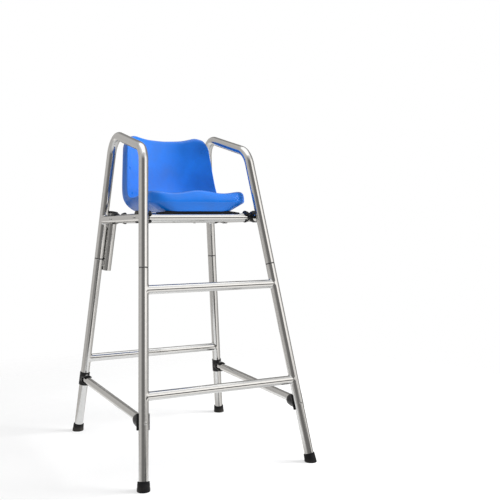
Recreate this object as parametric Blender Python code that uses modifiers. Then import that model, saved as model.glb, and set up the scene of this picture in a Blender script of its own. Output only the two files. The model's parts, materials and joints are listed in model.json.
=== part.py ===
"""Poolside lifeguard chair: a bent stainless tube frame with a moulded bucket seat.

Metres, +Z up. The chair faces -Y, and names say left and right as seen from its front, so left
is -X. The origin is on the floor in the middle of the four feet.
"""

import math

import bmesh
import bpy
from mathutils import Quaternion, Vector

# Stance of the legs: places of the leg axes on the floor, and their run per metre of rise
FOOT_HALF_WIDTH = 0.3965
FOOT_HALF_DEPTH = 0.490
SIDE_LEAN = 0.104
FRONT_LEAN = 0.255
REAR_LEAN = 0.127

# Tubes
LEG_D = 0.042
BAR_D = 0.039
BRACE_D = 0.036
TUBE_WALL = 0.002

# Heights of the tube axes
ARM_REAR_Z = 1.4855
ARM_FRONT_Z = 1.394
RAIL_Z = 1.0935
JOINT_Z = 0.885
RUNG_UPPER_Z = 0.794
RUNG_LOWER_Z = 0.364
REAR_RUNG_Z = 0.380
BRACE_FRONT_Z = 0.266
BRACE_REAR_Z = 0.276

# Fall of the side rails and the seat toward the back, per metre
RAIL_FALL = 0.040

# Side hoop
ARM_BEND_R = 0.092

# Leg joints: a stop ring with a sleeve above and below it
JOINT_RING_T = 0.005
SLEEVE_REACH = 0.050
SLEEVE_WALL = 0.003

# Cross bars and their flared connectors
BAR_LEG_SPACE = 0.014
BAR_SPACING = 0.328
CONNECTOR_CUP = 0.0193
CONNECTOR_NECK = 0.0145
CONNECTOR_LIP = 0.031
CONNECTOR_WALL = 0.0077
CONNECTOR_WAIST = 0.014
CONNECTOR_LIFT = 0.004
JAW_OPENING = 0.024
PLUG_LENGTH = 0.026

# Rear collars, front brackets and the braces between them
COLLAR_WALL = 0.003
COLLAR_HEIGHT = 0.067
JAW_WALL = 0.005
JAW_REACH = 0.036
BRACKET_WALL = 0.008
BRACKET_HEIGHT = 0.069
BRACKET_SETBACK = 0.0053
SOCKET_DEPTH = 0.034
SOCKET_WALL = 0.006
SOCKET_FLARE = 0.0045
SOCKET_DROP = 0.005
SEAT_FLOOR = 0.004

# Rubber feet
FOOT_HEIGHT = 0.038
FOOT_WALL = 0.004
FOOT_FLARE = 0.002
FOOT_FLOOR = 0.016

# Seat
PAD_THICKNESS = 0.011
PAD_WIDTH = 0.024
PAD_SHARE = 0.83
ARM_SEAT_SPACE = 0.0136
SEAT_BACK_TAPER = 0.143
SEAT_REAR_SPREAD = -0.0095
SEAT_CORNER = 0.045
SEAT_UNDER_TAPER = 0.28
SEAT_UNDER_HEIGHT = 0.038
SEAT_FRONT_OVERHANG = 0.026
SEAT_LIP_HEIGHT = 0.086
SEAT_LIP_WAVE = 0.007
SEAT_PAN_HEIGHT = 0.050
SEAT_RIM_HEIGHT = 0.068
SEAT_DEPTH = 0.378
SEAT_BACK_HEIGHT = 0.352
SEAT_BACK_EAR = 0.020
SEAT_BACK_RECLINE = 0.205
SEAT_BACK_HOLLOW = 0.050
SEAT_REAR_HOLLOW = 0.004
SEAT_BACK_THICK = 0.0245

# Top edge of the seat back: share of the half width, and rise as a part of the ear
SEAT_EARS = ((0.0, 0.0), (0.40, 0.2), (0.60, 0.6), (0.74, 1.0), (0.86, 0.75), (0.94, 0.3), (1.0, -1.5))

# Umbrella pole tube
POLE_TUBE_D = 0.045
POLE_TUBE_TOP_Z = 1.112
POLE_TUBE_BOTTOM_Z = 0.830
BUSH_RIM_T = 0.006
BUSH_WALL = 0.0025
BUSH_DEPTH = 0.030

# Fasteners
BOLT_D = 0.008
HEAD_D = 0.014
HEAD_H = 0.005
SEAT_HEAD_H = 0.0025
SEAT_BOLT_SHARE = 0.60
SEAT_BOLT_GRIP = 0.030

# Clearance between pieces that touch, and the facets of round pieces and of the tools that cut them
GAP = 0.0003
TUBE_SIDES = 24
FITTING_SIDES = 16
BOLT_SIDES = 10
BEND_STEPS = 6
TOOL_TWIST = 0.063

LEG_R = LEG_D / 2
BAR_R = BAR_D / 2
BRACE_R = BRACE_D / 2
BOLT_HOLE_R = BOLT_D / 2 + GAP
UP = Vector((0.0, 0.0, 1.0))
RIGHT = Vector((1.0, 0.0, 0.0))
SIDES = (("left", -1), ("right", 1))
ENDS = (("front", True), ("rear", False))

for old in list(bpy.data.objects):
    bpy.data.objects.remove(old, do_unlink=True)

chair = bpy.data.collections.new("lifeguard_chair")
tools = bpy.data.collections.new("cutters")
bpy.context.scene.collection.children.link(chair)
bpy.context.scene.collection.children.link(tools)
middle = bpy.data.objects.new("chair_middle", None)
chair.objects.link(middle)


def make_material(name, colour, roughness, metallic):
    """One plain Principled finish."""
    finish = bpy.data.materials.new(name)
    finish.use_nodes = True
    shader = finish.node_tree.nodes["Principled BSDF"]
    shader.inputs["Base Color"].default_value = (*colour, 1.0)
    shader.inputs["Roughness"].default_value = roughness
    shader.inputs["Metallic"].default_value = metallic
    return finish


STEEL = make_material("polished_steel", (0.62, 0.62, 0.61), 0.16, 1.0)
SLEEVE_STEEL = make_material("joint_steel", (0.10, 0.10, 0.10), 0.4, 0.8)
BLACK = make_material("black_plastic", (0.010, 0.010, 0.011), 0.42, 0.0)
RUBBER = make_material("black_rubber", (0.012, 0.012, 0.013), 0.75, 0.0)
BLUE = make_material("blue_plastic", (0.006, 0.105, 0.60), 0.28, 0.0)
BOLT_STEEL = make_material("bolt_steel", (0.55, 0.55, 0.54), 0.25, 1.0)


def add_part(name, mesh, finish):
    """A piece of the chair, hung on the middle empty."""
    piece = bpy.data.objects.new(name, mesh)
    mesh.materials.append(finish)
    chair.objects.link(piece)
    piece.parent = middle
    return piece


def add_cutter(name, mesh):
    """A tool body that only shapes other pieces."""
    tool = bpy.data.objects.new(name, mesh)
    tools.objects.link(tool)
    tool.hide_render = True
    tool.display_type = "WIRE"
    return tool


def aim(piece, start, direction, twist=0.0):
    """Put a piece's own Z axis on a line through a point, turned a little about that line."""
    piece.location = start
    piece.rotation_mode = "QUATERNION"
    piece.rotation_quaternion = direction.to_track_quat("Z", "Y") @ Quaternion(UP, twist)
    return piece


def profile_mesh(name, points, closed):
    """Profile in the XZ plane, listed down its outer side."""
    mesh = bpy.data.meshes.new(name)
    edges = [(i, i + 1) for i in range(len(points) - 1)]
    if closed:
        edges.append((len(points) - 1, 0))
    mesh.from_pydata([(radius, 0.0, height) for radius, height in points], edges, [])
    return mesh


def spin(piece, sides):
    """Turn the piece's profile round its own Z axis."""
    screw = piece.modifiers.new("turn", "SCREW")
    screw.angle = math.tau
    screw.axis = "Z"
    screw.steps = sides
    screw.render_steps = sides
    screw.use_merge_vertices = True
    screw.merge_threshold = 0.00001
    screw.use_smooth_shade = True
    return piece


def turned(name, points, finish, sides=FITTING_SIDES, closed=False):
    """Turned piece of the chair."""
    return spin(add_part(name, profile_mesh(name, points, closed), finish), sides)


def turned_cutter(name, points, sides=FITTING_SIDES):
    """Turned tool body."""
    return spin(add_cutter(name, profile_mesh(name, points, False)), sides)


def rod_profile(radius, bottom, top):
    """Solid round bar."""
    return [(0.0, top), (radius, top), (radius, bottom), (0.0, bottom)]


def pipe_profile(outer, inner, bottom, top):
    """Hollow round bar."""
    return [(outer, top), (outer, bottom), (inner, bottom), (inner, top)]


def rod_cutter(name, start, end, radius, sides=TUBE_SIDES):
    """Round tool body between two points; its facets are turned off those of the piece it cuts."""
    run = end - start
    return aim(turned_cutter(name, rod_profile(radius, 0.0, run.length), sides), start, run, TOOL_TWIST)


def box_cutter(name, low, high):
    """Square tool body between two corners, in its own axes."""
    mesh = bpy.data.meshes.new(name)
    shape = bmesh.new()
    bmesh.ops.create_cube(shape, size=1.0)
    for vert in shape.verts:
        vert.co = Vector([low[i] if vert.co[i] < 0.0 else high[i] for i in range(3)])
    shape.to_mesh(mesh)
    shape.free()
    return add_cutter(name, mesh)


def cut(piece, tool, operation="DIFFERENCE"):
    """Boolean with a tool body."""
    step = piece.modifiers.new(tool.name, "BOOLEAN")
    step.operation = operation
    step.object = tool
    step.solver = "EXACT"


def mirrored(piece):
    """Second copy on the other side of the chair."""
    pair = piece.modifiers.new("other_side", "MIRROR")
    pair.mirror_object = middle
    pair.use_mirror_merge = False
    pair.merge_threshold = 0.0001


def repeated(piece, step):
    """Second copy at a step given in the chair's axes."""
    row = piece.modifiers.new("row", "ARRAY")
    row.count = 2
    row.use_relative_offset = False
    row.use_constant_offset = True
    row.constant_offset_displace = piece.rotation_quaternion.inverted() @ step


def straight_tube(name, start, end, diameter, finish=STEEL):
    """Hollow tube between two points."""
    run = end - start
    ring = pipe_profile(diameter / 2, diameter / 2 - TUBE_WALL, 0.0, run.length)
    return aim(turned(name, ring, finish, TUBE_SIDES, closed=True), start, run)


def leg_point(side, front, height):
    """Point of a leg's axis."""
    across = side * (FOOT_HALF_WIDTH - SIDE_LEAN * height)
    along = FRONT_LEAN * height - FOOT_HALF_DEPTH if front else FOOT_HALF_DEPTH - REAR_LEAN * height
    return Vector((across, along, height))


def leg_direction(side, front):
    """Unit vector up a leg."""
    return (leg_point(side, front, 1.0) - leg_point(side, front, 0.0)).normalized()


def rounded_path(corners, radius):
    """Path through its corners with arcs in place of them."""
    path = [corners[0]]
    for before, corner, after in zip(corners, corners[1:], corners[2:]):
        inward = (corner - before).normalized()
        outward = (after - corner).normalized()
        turn = inward.angle(outward)
        start = corner - inward * radius * math.tan(turn / 2)
        toward = (outward - inward * inward.dot(outward)).normalized()
        for step in range(BEND_STEPS + 1):
            angle = turn * step / BEND_STEPS
            path.append(start + toward * radius * (1 - math.cos(angle)) + inward * radius * math.sin(angle))
    path.append(corners[-1])
    return path


def bent_tube(name, path, radius):
    """Tube along a path: the open skin of a bevelled curve, thickened inward."""
    curve = bpy.data.curves.new(name, "CURVE")
    curve.dimensions = "3D"
    curve.bevel_depth = radius
    curve.bevel_resolution = (TUBE_SIDES - 4) // 2
    line = curve.splines.new("POLY")
    line.points.add(len(path) - 1)
    for point, place in zip(line.points, path):
        point.co = (*place, 1.0)
    holder = bpy.data.objects.new(name, curve)
    tools.objects.link(holder)
    graph = bpy.context.evaluated_depsgraph_get()
    mesh = bpy.data.meshes.new_from_object(holder.evaluated_get(graph))
    bpy.data.objects.remove(holder, do_unlink=True)
    mesh.shade_smooth()
    tube = add_part(name, mesh, STEEL)
    wall = tube.modifiers.new("wall", "SOLIDIFY")
    wall.thickness = TUBE_WALL
    wall.offset = -1.0
    return tube


def make_leg_cutters():
    """Bars along the four legs, which shape everything that meets them."""
    bars = {}
    for side_name, side in SIDES:
        for end_name, front in ENDS:
            name = f"leg_line_{end_name}_{side_name}"
            low = leg_point(side, front, -FOOT_HEIGHT)
            high = leg_point(side, front, RAIL_Z + LEG_D * 2)
            bars[side, front] = rod_cutter(name, low, high, LEG_R + GAP)
    return bars


def make_hoop(side_name, side):
    """One bent tube: rear leg top, armrest and front leg top."""
    half_ring = JOINT_RING_T / 2 + GAP
    rear_end = leg_point(side, False, JOINT_Z) + leg_direction(side, False) * half_ring
    front_end = leg_point(side, True, JOINT_Z) + leg_direction(side, True) * half_ring
    corners = [rear_end, leg_point(side, False, ARM_REAR_Z), leg_point(side, True, ARM_FRONT_Z), front_end]
    bent_tube(f"hoop_{side_name}", rounded_path(corners, ARM_BEND_R), LEG_R)


def make_lower_leg(side_name, side, end_name, front):
    """Lower leg tube, its joint sleeve and its rubber foot."""
    up = leg_direction(side, front)
    ground = leg_point(side, front, 0.0)
    joint = leg_point(side, front, JOINT_Z)
    tube_start = ground + up * (FOOT_FLOOR + GAP)
    tube_end = joint - up * (JOINT_RING_T / 2 + GAP)
    leg = straight_tube(f"{end_name}_leg_{side_name}", tube_start, tube_end, LEG_D)

    sleeve_r = LEG_R - TUBE_WALL - GAP
    half = JOINT_RING_T / 2
    outline = [
        (sleeve_r, SLEEVE_REACH), (sleeve_r, half), (LEG_R, half), (LEG_R, -half),
        (sleeve_r, -half), (sleeve_r, -SLEEVE_REACH),
        (sleeve_r - SLEEVE_WALL, -SLEEVE_REACH), (sleeve_r - SLEEVE_WALL, SLEEVE_REACH),
    ]
    sleeve_name = f"leg_joint_{end_name}_{side_name}"
    aim(turned(sleeve_name, outline, SLEEVE_STEEL, closed=True), joint, up)

    socket_r = LEG_R + GAP
    top_r = socket_r + FOOT_WALL
    base_r = top_r + FOOT_FLARE
    below = -base_r * math.tan(up.angle(UP)) - GAP
    cup = [
        (socket_r, FOOT_HEIGHT), (top_r - FOOT_WALL / 3, FOOT_HEIGHT),
        (top_r, FOOT_HEIGHT - FOOT_WALL), (top_r, FOOT_FLOOR), (base_r, FOOT_FLOOR / 2),
        (base_r, below), (0.0, below),
    ]
    floor = [(0.0, FOOT_FLOOR), (socket_r, FOOT_FLOOR)]
    foot = aim(turned(f"foot_{end_name}_{side_name}", floor + cup, RUBBER, TUBE_SIDES), ground, up)
    cut(foot, ground_cutter)
    return leg


def make_rungs(leg_bars):
    """Rungs between the legs, coped to the leg tubes."""
    rows = (
        ("front_rung_upper", True, RUNG_UPPER_Z),
        ("front_rung_lower", True, RUNG_LOWER_Z),
        ("rear_rung", False, REAR_RUNG_Z),
    )
    for name, front, height in rows:
        rung = straight_tube(name, leg_point(-1, front, height), leg_point(1, front, height), BAR_D)
        cut(rung, leg_bars[-1, front])
        cut(rung, leg_bars[1, front])


CONNECTOR_R = BAR_R + GAP + CONNECTOR_WALL
BAR_FRONT_Y = leg_point(1, True, RAIL_Z).y + LEG_R + CONNECTOR_R + BAR_LEG_SPACE
BAR_Y = {"front": BAR_FRONT_Y, "rear": BAR_FRONT_Y + BAR_SPACING}
BAR_STEP = Vector((0.0, BAR_SPACING, -RAIL_FALL * BAR_SPACING))
RAIL_FRONT_Z = (RAIL_Z + RAIL_FALL * (FOOT_HALF_DEPTH + BAR_FRONT_Y)) / (1.0 + RAIL_FALL * FRONT_LEAN)
RAIL_REAR_Z = (RAIL_Z - RAIL_FALL * (FOOT_HALF_DEPTH - BAR_FRONT_Y)) / (1.0 - RAIL_FALL * REAR_LEAN)


def rail_point(side, along):
    """Point of a side rail's axis."""
    start = leg_point(side, True, RAIL_FRONT_Z)
    end = leg_point(side, False, RAIL_REAR_Z)
    return start.lerp(end, (along - start.y) / (end.y - start.y))


def bar_end(side, end_name):
    """End of a cross bar's axis."""
    return rail_point(side, BAR_Y[end_name]) - RIGHT * side * (BAR_R + GAP + CONNECTOR_NECK)


def make_rails(leg_bars):
    """Seat side rails, coped to the legs and drilled for the connector bolts."""
    rail_bars = {}
    for side_name, side in SIDES:
        start = leg_point(side, True, RAIL_FRONT_Z)
        end = leg_point(side, False, RAIL_REAR_Z)
        rail = straight_tube(f"side_rail_{side_name}", start, end, BAR_D)
        for front in (True, False):
            cut(rail, leg_bars[side, front])
        cut(rail, connector_holes)
        rail_bars[side] = rod_cutter(f"rail_line_{side_name}", start, end, BAR_R + GAP)
    return rail_bars


def make_connector(name, side, end_name, rail_bars):
    """Flared fitting: jaws over the cross bar's end, and jaws round the side rail."""
    outward = RIGHT * side
    neck_end = CONNECTOR_CUP + CONNECTOR_NECK
    length = neck_end + CONNECTOR_LIP
    shoulder = CONNECTOR_R - CONNECTOR_WALL * 0.65
    outline = [
        (0.0, length), (CONNECTOR_R, length), (CONNECTOR_R, neck_end + CONNECTOR_LIP * 0.4),
        (shoulder, neck_end), (CONNECTOR_WAIST, neck_end - CONNECTOR_NECK / 2), (shoulder, CONNECTOR_CUP),
        (CONNECTOR_R, CONNECTOR_CUP * 0.33), (CONNECTOR_R, 0.0), (0.0, 0.0),
    ]
    bar_stop = bar_end(side, end_name)
    mouth = bar_stop - outward * CONNECTOR_CUP
    fitting = aim(turned(name, outline, BLACK), mouth + UP * CONNECTOR_LIFT, outward)
    cut(fitting, rod_cutter(f"{name}_bore", mouth - outward * CONNECTOR_CUP, bar_stop + outward * GAP, BAR_R + GAP))
    cut(fitting, rail_bars[side])
    window = box_cutter(
        f"{name}_window",
        (-CONNECTOR_CUP, -CONNECTOR_R * 2, -JAW_OPENING / 2),
        (CONNECTOR_CUP * 0.6, CONNECTOR_R * 2, JAW_OPENING / 2),
    )
    window.location = mouth
    window.scale.x = side
    cut(fitting, window)
    cut(fitting, connector_holes)


def make_cross_bars(rail_bars):
    """Two cross bars with their connectors, end plugs and bolts."""
    for end_name in BAR_Y:
        bar = straight_tube(f"seat_bar_{end_name}", bar_end(-1, end_name), bar_end(1, end_name), BAR_D)
        cut(bar, seat_bolt_holes)
        for side_name, side in SIDES:
            make_connector(f"bar_connector_{end_name}_{side_name}", side, end_name, rail_bars)
            make_bar_fixing(f"{end_name}_{side_name}", side, end_name, rail_bars)


def make_bar_fixing(place, side, end_name, rail_bars):
    """Plug in a cross bar's end and the bolt that draws it to the side rail."""
    bar_stop = bar_end(side, end_name)
    ring = pipe_profile(BAR_R - TUBE_WALL - GAP, BOLT_HOLE_R, -PLUG_LENGTH, 0.0)
    aim(turned(f"bar_plug_{place}", ring, BLACK, closed=True), bar_stop, RIGHT * side)
    face = CONNECTOR_NECK + BAR_D + GAP * 2
    make_bolt(f"connector_bolt_{place}", bar_stop, RIGHT * side, -PLUG_LENGTH / 2, face, rail_bars[side])


def make_bolt(name, start, direction, tip, face, tube=None, head_h=HEAD_H):
    """Dome-headed bolt whose head may be hollowed to sit on a tube."""
    head_r = HEAD_D / 2
    top = face + head_h
    skirt = face - head_r / 2 if tube else face
    head = aim(turned(name, [
        (0.0, top), (head_r * 0.6, top - head_h * 0.15), (head_r, top - head_h * 0.7),
        (head_r, skirt), (0.0, skirt),
    ], BOLT_STEEL, BOLT_SIDES), start, direction)
    if tube:
        cut(head, tube)
    shaft = turned_cutter(f"{name}_shaft", rod_profile(BOLT_D / 2, tip, top - head_h / 2), BOLT_SIDES)
    cut(head, aim(shaft, start, direction, TOOL_TWIST), "UNION")


COLLAR_R = LEG_R + GAP + COLLAR_WALL
BRACKET_R = LEG_R + GAP + BRACKET_WALL
COLLAR_FACE = COLLAR_R + SEAT_FLOOR
BRACKET_FACE = BRACKET_R + SEAT_FLOOR
COLLAR_BOLT_REACH = COLLAR_FACE + JAW_REACH * 0.55
JAW_FACE = BRACE_R + GAP + JAW_WALL * 0.7


def brace_line(side):
    """Axis points of a brace's rear and front legs, and the unit vector forward along the brace."""
    rear = leg_point(side, False, BRACE_REAR_Z)
    front = leg_point(side, True, BRACE_FRONT_Z)
    return rear, front, (front - rear).normalized()


def make_collar(side_name, side, leg_bars):
    """Sleeve on a rear leg with an upper and a lower jaw for the brace."""
    name = f"rear_collar_{side_name}"
    axis, _, run = brace_line(side)
    sleeve = turned(name, rod_profile(COLLAR_R, -COLLAR_HEIGHT / 2, COLLAR_HEIGHT / 2), BLACK)
    aim(sleeve, axis, leg_direction(side, False))
    jaw_r = BRACE_R + GAP + JAW_WALL
    reach = COLLAR_FACE + JAW_REACH
    branch = turned_cutter(f"{name}_branch", [
        (0.0, reach), (jaw_r + JAW_WALL / 2, reach), (jaw_r + JAW_WALL / 2, reach - JAW_WALL),
        (jaw_r, COLLAR_FACE), (jaw_r, 0.0), (0.0, 0.0),
    ])
    cut(sleeve, aim(branch, axis, run), "UNION")
    cut(sleeve, leg_bars[side, False])
    stop = axis + run * COLLAR_FACE
    cut(sleeve, rod_cutter(f"{name}_bore", stop - run * GAP, stop + run * JAW_REACH * 2, BRACE_R + GAP))
    window = box_cutter(
        f"{name}_window",
        (-COLLAR_R * 2, -JAW_REACH * 2, -JAW_OPENING / 2),
        (COLLAR_R * 2, -JAW_WALL, JAW_OPENING / 2),
    )
    window.location = stop
    cut(sleeve, window)
    cut(sleeve, collar_bolt_holes)
    rest = axis + run * COLLAR_BOLT_REACH + UP * JAW_FACE
    cut(sleeve, rod_cutter(f"{name}_head_rest", rest, rest + UP * HEAD_D, HEAD_D / 2 + JAW_WALL / 4))


def make_bracket(side_name, side, leg_bars):
    """Half sleeve behind a front leg with a round socket for the brace."""
    name = f"front_bracket_{side_name}"
    _, axis, run = brace_line(side)
    shell = turned(name, rod_profile(BRACKET_R, -BRACKET_HEIGHT / 2, BRACKET_HEIGHT / 2), BLACK)
    aim(shell, axis, leg_direction(side, True))
    mouth_r = BRACE_R + GAP + SOCKET_WALL
    reach = BRACKET_FACE + SOCKET_DEPTH
    socket = turned_cutter(f"{name}_socket", [
        (0.0, reach), (mouth_r, reach), (mouth_r + SOCKET_FLARE * 0.6, reach - SOCKET_DEPTH * 0.5),
        (mouth_r + SOCKET_FLARE, BRACKET_FACE), (mouth_r + SOCKET_FLARE, 0.0), (0.0, 0.0),
    ])
    cut(shell, aim(socket, axis - UP * SOCKET_DROP, -run), "UNION")
    front_half = box_cutter(
        f"{name}_front_half",
        (-BRACKET_R * 2, -BRACKET_R * 2, -BRACKET_HEIGHT),
        (BRACKET_R * 2, BRACKET_SETBACK, BRACKET_HEIGHT),
    )
    front_half.location = axis
    front_half.rotation_euler.x = -math.atan(FRONT_LEAN)
    cut(shell, front_half)
    cut(shell, leg_bars[side, True])
    stop = axis - run * BRACKET_FACE
    cut(shell, rod_cutter(f"{name}_bore", stop + run * GAP, stop - run * SOCKET_DEPTH * 2, BRACE_R + GAP))
    cut(shell, bracket_bolt_holes)


def make_braces(leg_bars):
    """Lower side braces with their collars, brackets, plugs and bolts."""
    for side_name, side in SIDES:
        rear, front, run = brace_line(side)
        brace = straight_tube(
            f"brace_{side_name}", rear + run * COLLAR_FACE, front - run * BRACKET_FACE, BRACE_D)
        cut(brace, collar_bolt_holes)
        make_collar(side_name, side, leg_bars)
        make_bracket(side_name, side, leg_bars)
        make_brace_fixing(side_name, side, leg_bars)


def make_brace_fixing(side_name, side, leg_bars):
    """Plug and bolt at a brace's front end, and the bolt through its rear jaws."""
    rear, front, run = brace_line(side)
    ring = pipe_profile(BRACE_R - TUBE_WALL - GAP, BOLT_HOLE_R, -BRACKET_FACE - PLUG_LENGTH, -BRACKET_FACE)
    aim(turned(f"brace_plug_{side_name}", ring, BLACK, closed=True), front, run)

    tip = -BRACKET_FACE - PLUG_LENGTH / 2
    face = LEG_R + GAP + HEAD_D / 2 * FRONT_LEAN
    make_bolt(f"bracket_bolt_{side_name}", front, run, tip, face, leg_bars[side, True])

    pin_place = rear + run * COLLAR_BOLT_REACH
    make_bolt(f"collar_bolt_{side_name}", pin_place, UP, -BRACE_R - JAW_WALL, JAW_FACE + GAP)


SEAT_BASE_Z = RAIL_Z + BAR_R + PAD_THICKNESS
SEAT_FRONT_Y = BAR_FRONT_Y - SEAT_FRONT_OVERHANG
SEAT_TOP_HALF = FOOT_HALF_WIDTH - SIDE_LEAN * ARM_REAR_Z - LEG_R - ARM_SEAT_SPACE
SEAT_HALF_WIDTH = SEAT_TOP_HALF / (1.0 - SEAT_BACK_TAPER)
PAD_HALF_LENGTH = SEAT_HALF_WIDTH * PAD_SHARE
SEAT_BOLT_X = PAD_HALF_LENGTH * SEAT_BOLT_SHARE


def seat_half_width(along, height):
    """Half width of the seat: narrower to the rear, drawn in below and up the back."""
    depth = min(1.0, (along - SEAT_FRONT_Y) / SEAT_DEPTH)
    under = SEAT_UNDER_TAPER * max(0.0, 1.0 - height / SEAT_UNDER_HEIGHT)
    climb = max(0.0, height - SEAT_LIP_HEIGHT) / (SEAT_BACK_HEIGHT - SEAT_LIP_HEIGHT)
    pan_half = (SEAT_HALF_WIDTH + SEAT_REAR_SPREAD * depth) * (1.0 - under)
    return pan_half * (1.0 - climb) + SEAT_TOP_HALF * climb


def seat_ear(share):
    """Rise of the back's top edge at a share of the half width."""
    for (low, start), (high, finish) in zip(SEAT_EARS, SEAT_EARS[1:]):
        if share <= high:
            break
    return SEAT_BACK_EAR * (start + (finish - start) * (share - low) / (high - low))


def seat_section(share):
    """Closed outline (y, height) of the seat at a share of its half width, from under the lip upward."""
    rim = share ** 3
    lip = SEAT_LIP_HEIGHT + SEAT_LIP_WAVE * math.cos(math.tau * share) - 2.0 * SEAT_LIP_WAVE * share ** 12
    pan = SEAT_PAN_HEIGHT + (SEAT_RIM_HEIGHT - SEAT_PAN_HEIGHT) * rim
    top = SEAT_BACK_HEIGHT + seat_ear(share)
    hollow = SEAT_BACK_HOLLOW * share ** 2
    rear_hollow = SEAT_REAR_HOLLOW * share ** 2
    front = SEAT_FRONT_Y + SEAT_CORNER * share ** 8
    heel = SEAT_FRONT_Y + SEAT_DEPTH
    rise = top - pan

    def back_face(part):
        return heel + SEAT_BACK_RECLINE * rise * part - hollow

    def back_shell(part):
        return heel + SEAT_BACK_RECLINE * rise * part * 0.78 + SEAT_BACK_THICK * 1.4 - rear_hollow

    face = [
        (front + 0.017, 0.0),
        (front + 0.010, SEAT_UNDER_HEIGHT * 0.40),
        (front + 0.001, SEAT_UNDER_HEIGHT),
        (front, SEAT_UNDER_HEIGHT + (lip - SEAT_UNDER_HEIGHT) * 0.55),
        (front + 0.010, lip),
        (front + 0.040, lip + 0.001),
        (front + 0.095, lip * 0.55 + pan * 0.45),
        (heel - SEAT_DEPTH * 0.48, pan),
        (heel - SEAT_DEPTH * 0.24, pan),
        (heel - 0.032 - hollow * 0.8, pan + 0.006),
        (back_face(0.10) - 0.006, pan + rise * 0.10),
        (back_face(0.28), pan + rise * 0.28),
        (back_face(0.52), pan + rise * 0.52),
        (back_face(0.76), pan + rise * 0.76),
        (back_face(0.94), pan + rise * 0.94),
        (back_face(1.0) + 0.006, top),
    ]
    shell = [
        (back_shell(1.0) - 0.004, top - 0.002),
        (back_shell(0.93), pan + rise * 0.92),
        (back_shell(0.72), pan + rise * 0.70),
        (back_shell(0.46), pan + rise * 0.44),
        (back_shell(0.20), pan + rise * 0.18),
        (back_shell(0.0) - 0.008, pan * 0.9),
        (heel + SEAT_BACK_THICK * 0.6, pan * 0.32),
        (heel - SEAT_BACK_THICK * 0.1, 0.0),
        (heel - SEAT_DEPTH * 0.30, 0.0),
        (heel - SEAT_DEPTH * 0.56, 0.0),
        (front + 0.066, 0.0),
        (front + 0.052, 0.0),
        (front + 0.042, 0.0),
        (front + 0.034, 0.0),
        (front + 0.028, 0.0),
        (front + 0.023, 0.0),
    ]
    return face + shell


def make_seat():
    """Moulded seat: half a cage of lofted sections, mirrored and smoothed."""
    shares = [0.0, 0.26, 0.50, 0.70, 0.86, 0.95, 1.0]
    shape = bmesh.new()
    rows = []
    for share in shares:
        row = []
        for along, height in seat_section(share):
            across = share * seat_half_width(along, height)
            base = SEAT_BASE_Z - RAIL_FALL * (along - BAR_FRONT_Y)
            row.append(shape.verts.new((across, along, base + height)))
        rows.append(row)
    count = len(rows[0])
    for inner, outer in zip(rows, rows[1:]):
        for i in range(count):
            j = (i + 1) % count
            shape.faces.new((inner[i], outer[i], outer[j], inner[j]))
    close_side(shape, rows[-1])
    bmesh.ops.recalc_face_normals(shape, faces=shape.faces)
    mesh = bpy.data.meshes.new("seat")
    shape.to_mesh(mesh)
    shape.free()
    mesh.shade_smooth()
    seat = add_part("seat", mesh, BLUE)
    whole = seat.modifiers.new("other_half", "MIRROR")
    whole.merge_threshold = 0.0001
    smooth = seat.modifiers.new("smooth", "SUBSURF")
    smooth.levels = 1
    smooth.render_levels = 1
    cut(seat, seat_bolt_holes)


def close_side(shape, row):
    """Close the seat's outer side by pairing the points of its outline across the middle."""
    low = 0
    high = len(row) - 1
    while high - low > 2:
        shape.faces.new((row[low], row[low + 1], row[high - 1], row[high]))
        low += 1
        high -= 1
    if high - low == 2:
        shape.faces.new((row[low], row[low + 1], row[high]))


def make_seat_pads(bar_bars):
    """Rubber strips between the seat and the cross bars."""
    for end_name, bar_y in BAR_Y.items():
        mesh = bpy.data.meshes.new(f"seat_pad_{end_name}")
        shape = bmesh.new()
        bmesh.ops.create_cube(shape, size=1.0)
        height = PAD_THICKNESS + BAR_R * 0.6 - GAP
        for vert in shape.verts:
            vert.co.x *= PAD_HALF_LENGTH * 2
            vert.co.y *= PAD_WIDTH
            vert.co.z *= height
        shape.to_mesh(mesh)
        shape.free()
        pad = add_part(f"seat_pad_{end_name}", mesh, RUBBER)
        bar_z = rail_point(1, bar_y).z
        pad.location = (0.0, bar_y, bar_z + BAR_R + PAD_THICKNESS - GAP - height / 2)
        pad.rotation_euler.x = -math.atan(RAIL_FALL)
        cut(pad, bar_bars[end_name])
        cut(pad, seat_bolt_holes)
        tip = -(BAR_R + PAD_THICKNESS + SEAT_BOLT_GRIP)
        for side_name, side in SIDES:
            name = f"seat_bolt_{end_name}_{side_name}"
            place = Vector((side * SEAT_BOLT_X, bar_y, bar_z))
            make_bolt(name, place, -UP, tip, BAR_R + GAP, bar_bars[end_name], SEAT_HEAD_H)


def make_pole_tube():
    """Open tube for an umbrella pole inside one rear leg, with a top bush."""
    side = -1
    up = leg_direction(side, False)
    inward = (RIGHT - up * up.dot(RIGHT)).normalized()
    offset = inward * (LEG_R + POLE_TUBE_D / 2 + GAP)
    bottom = leg_point(side, False, POLE_TUBE_BOTTOM_Z) + offset
    top = leg_point(side, False, POLE_TUBE_TOP_Z) + offset
    straight_tube("pole_tube", bottom, top, POLE_TUBE_D)
    bush_r = POLE_TUBE_D / 2 - TUBE_WALL - GAP
    outline = [
        (POLE_TUBE_D / 2, BUSH_RIM_T), (POLE_TUBE_D / 2, GAP), (bush_r, GAP), (bush_r, -BUSH_DEPTH),
        (bush_r - BUSH_WALL, -BUSH_DEPTH), (bush_r - BUSH_WALL, BUSH_RIM_T),
    ]
    aim(turned("pole_tube_bush", outline, BLACK, TUBE_SIDES, closed=True), top, up)


def hole_pair(name, place, direction, low, high):
    """Bolt holes on both sides of the chair."""
    holes = turned_cutter(name, rod_profile(BOLT_HOLE_R, low, high), BOLT_SIDES)
    aim(holes, place, direction, TOOL_TWIST * 2)
    mirrored(holes)
    return holes


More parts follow.
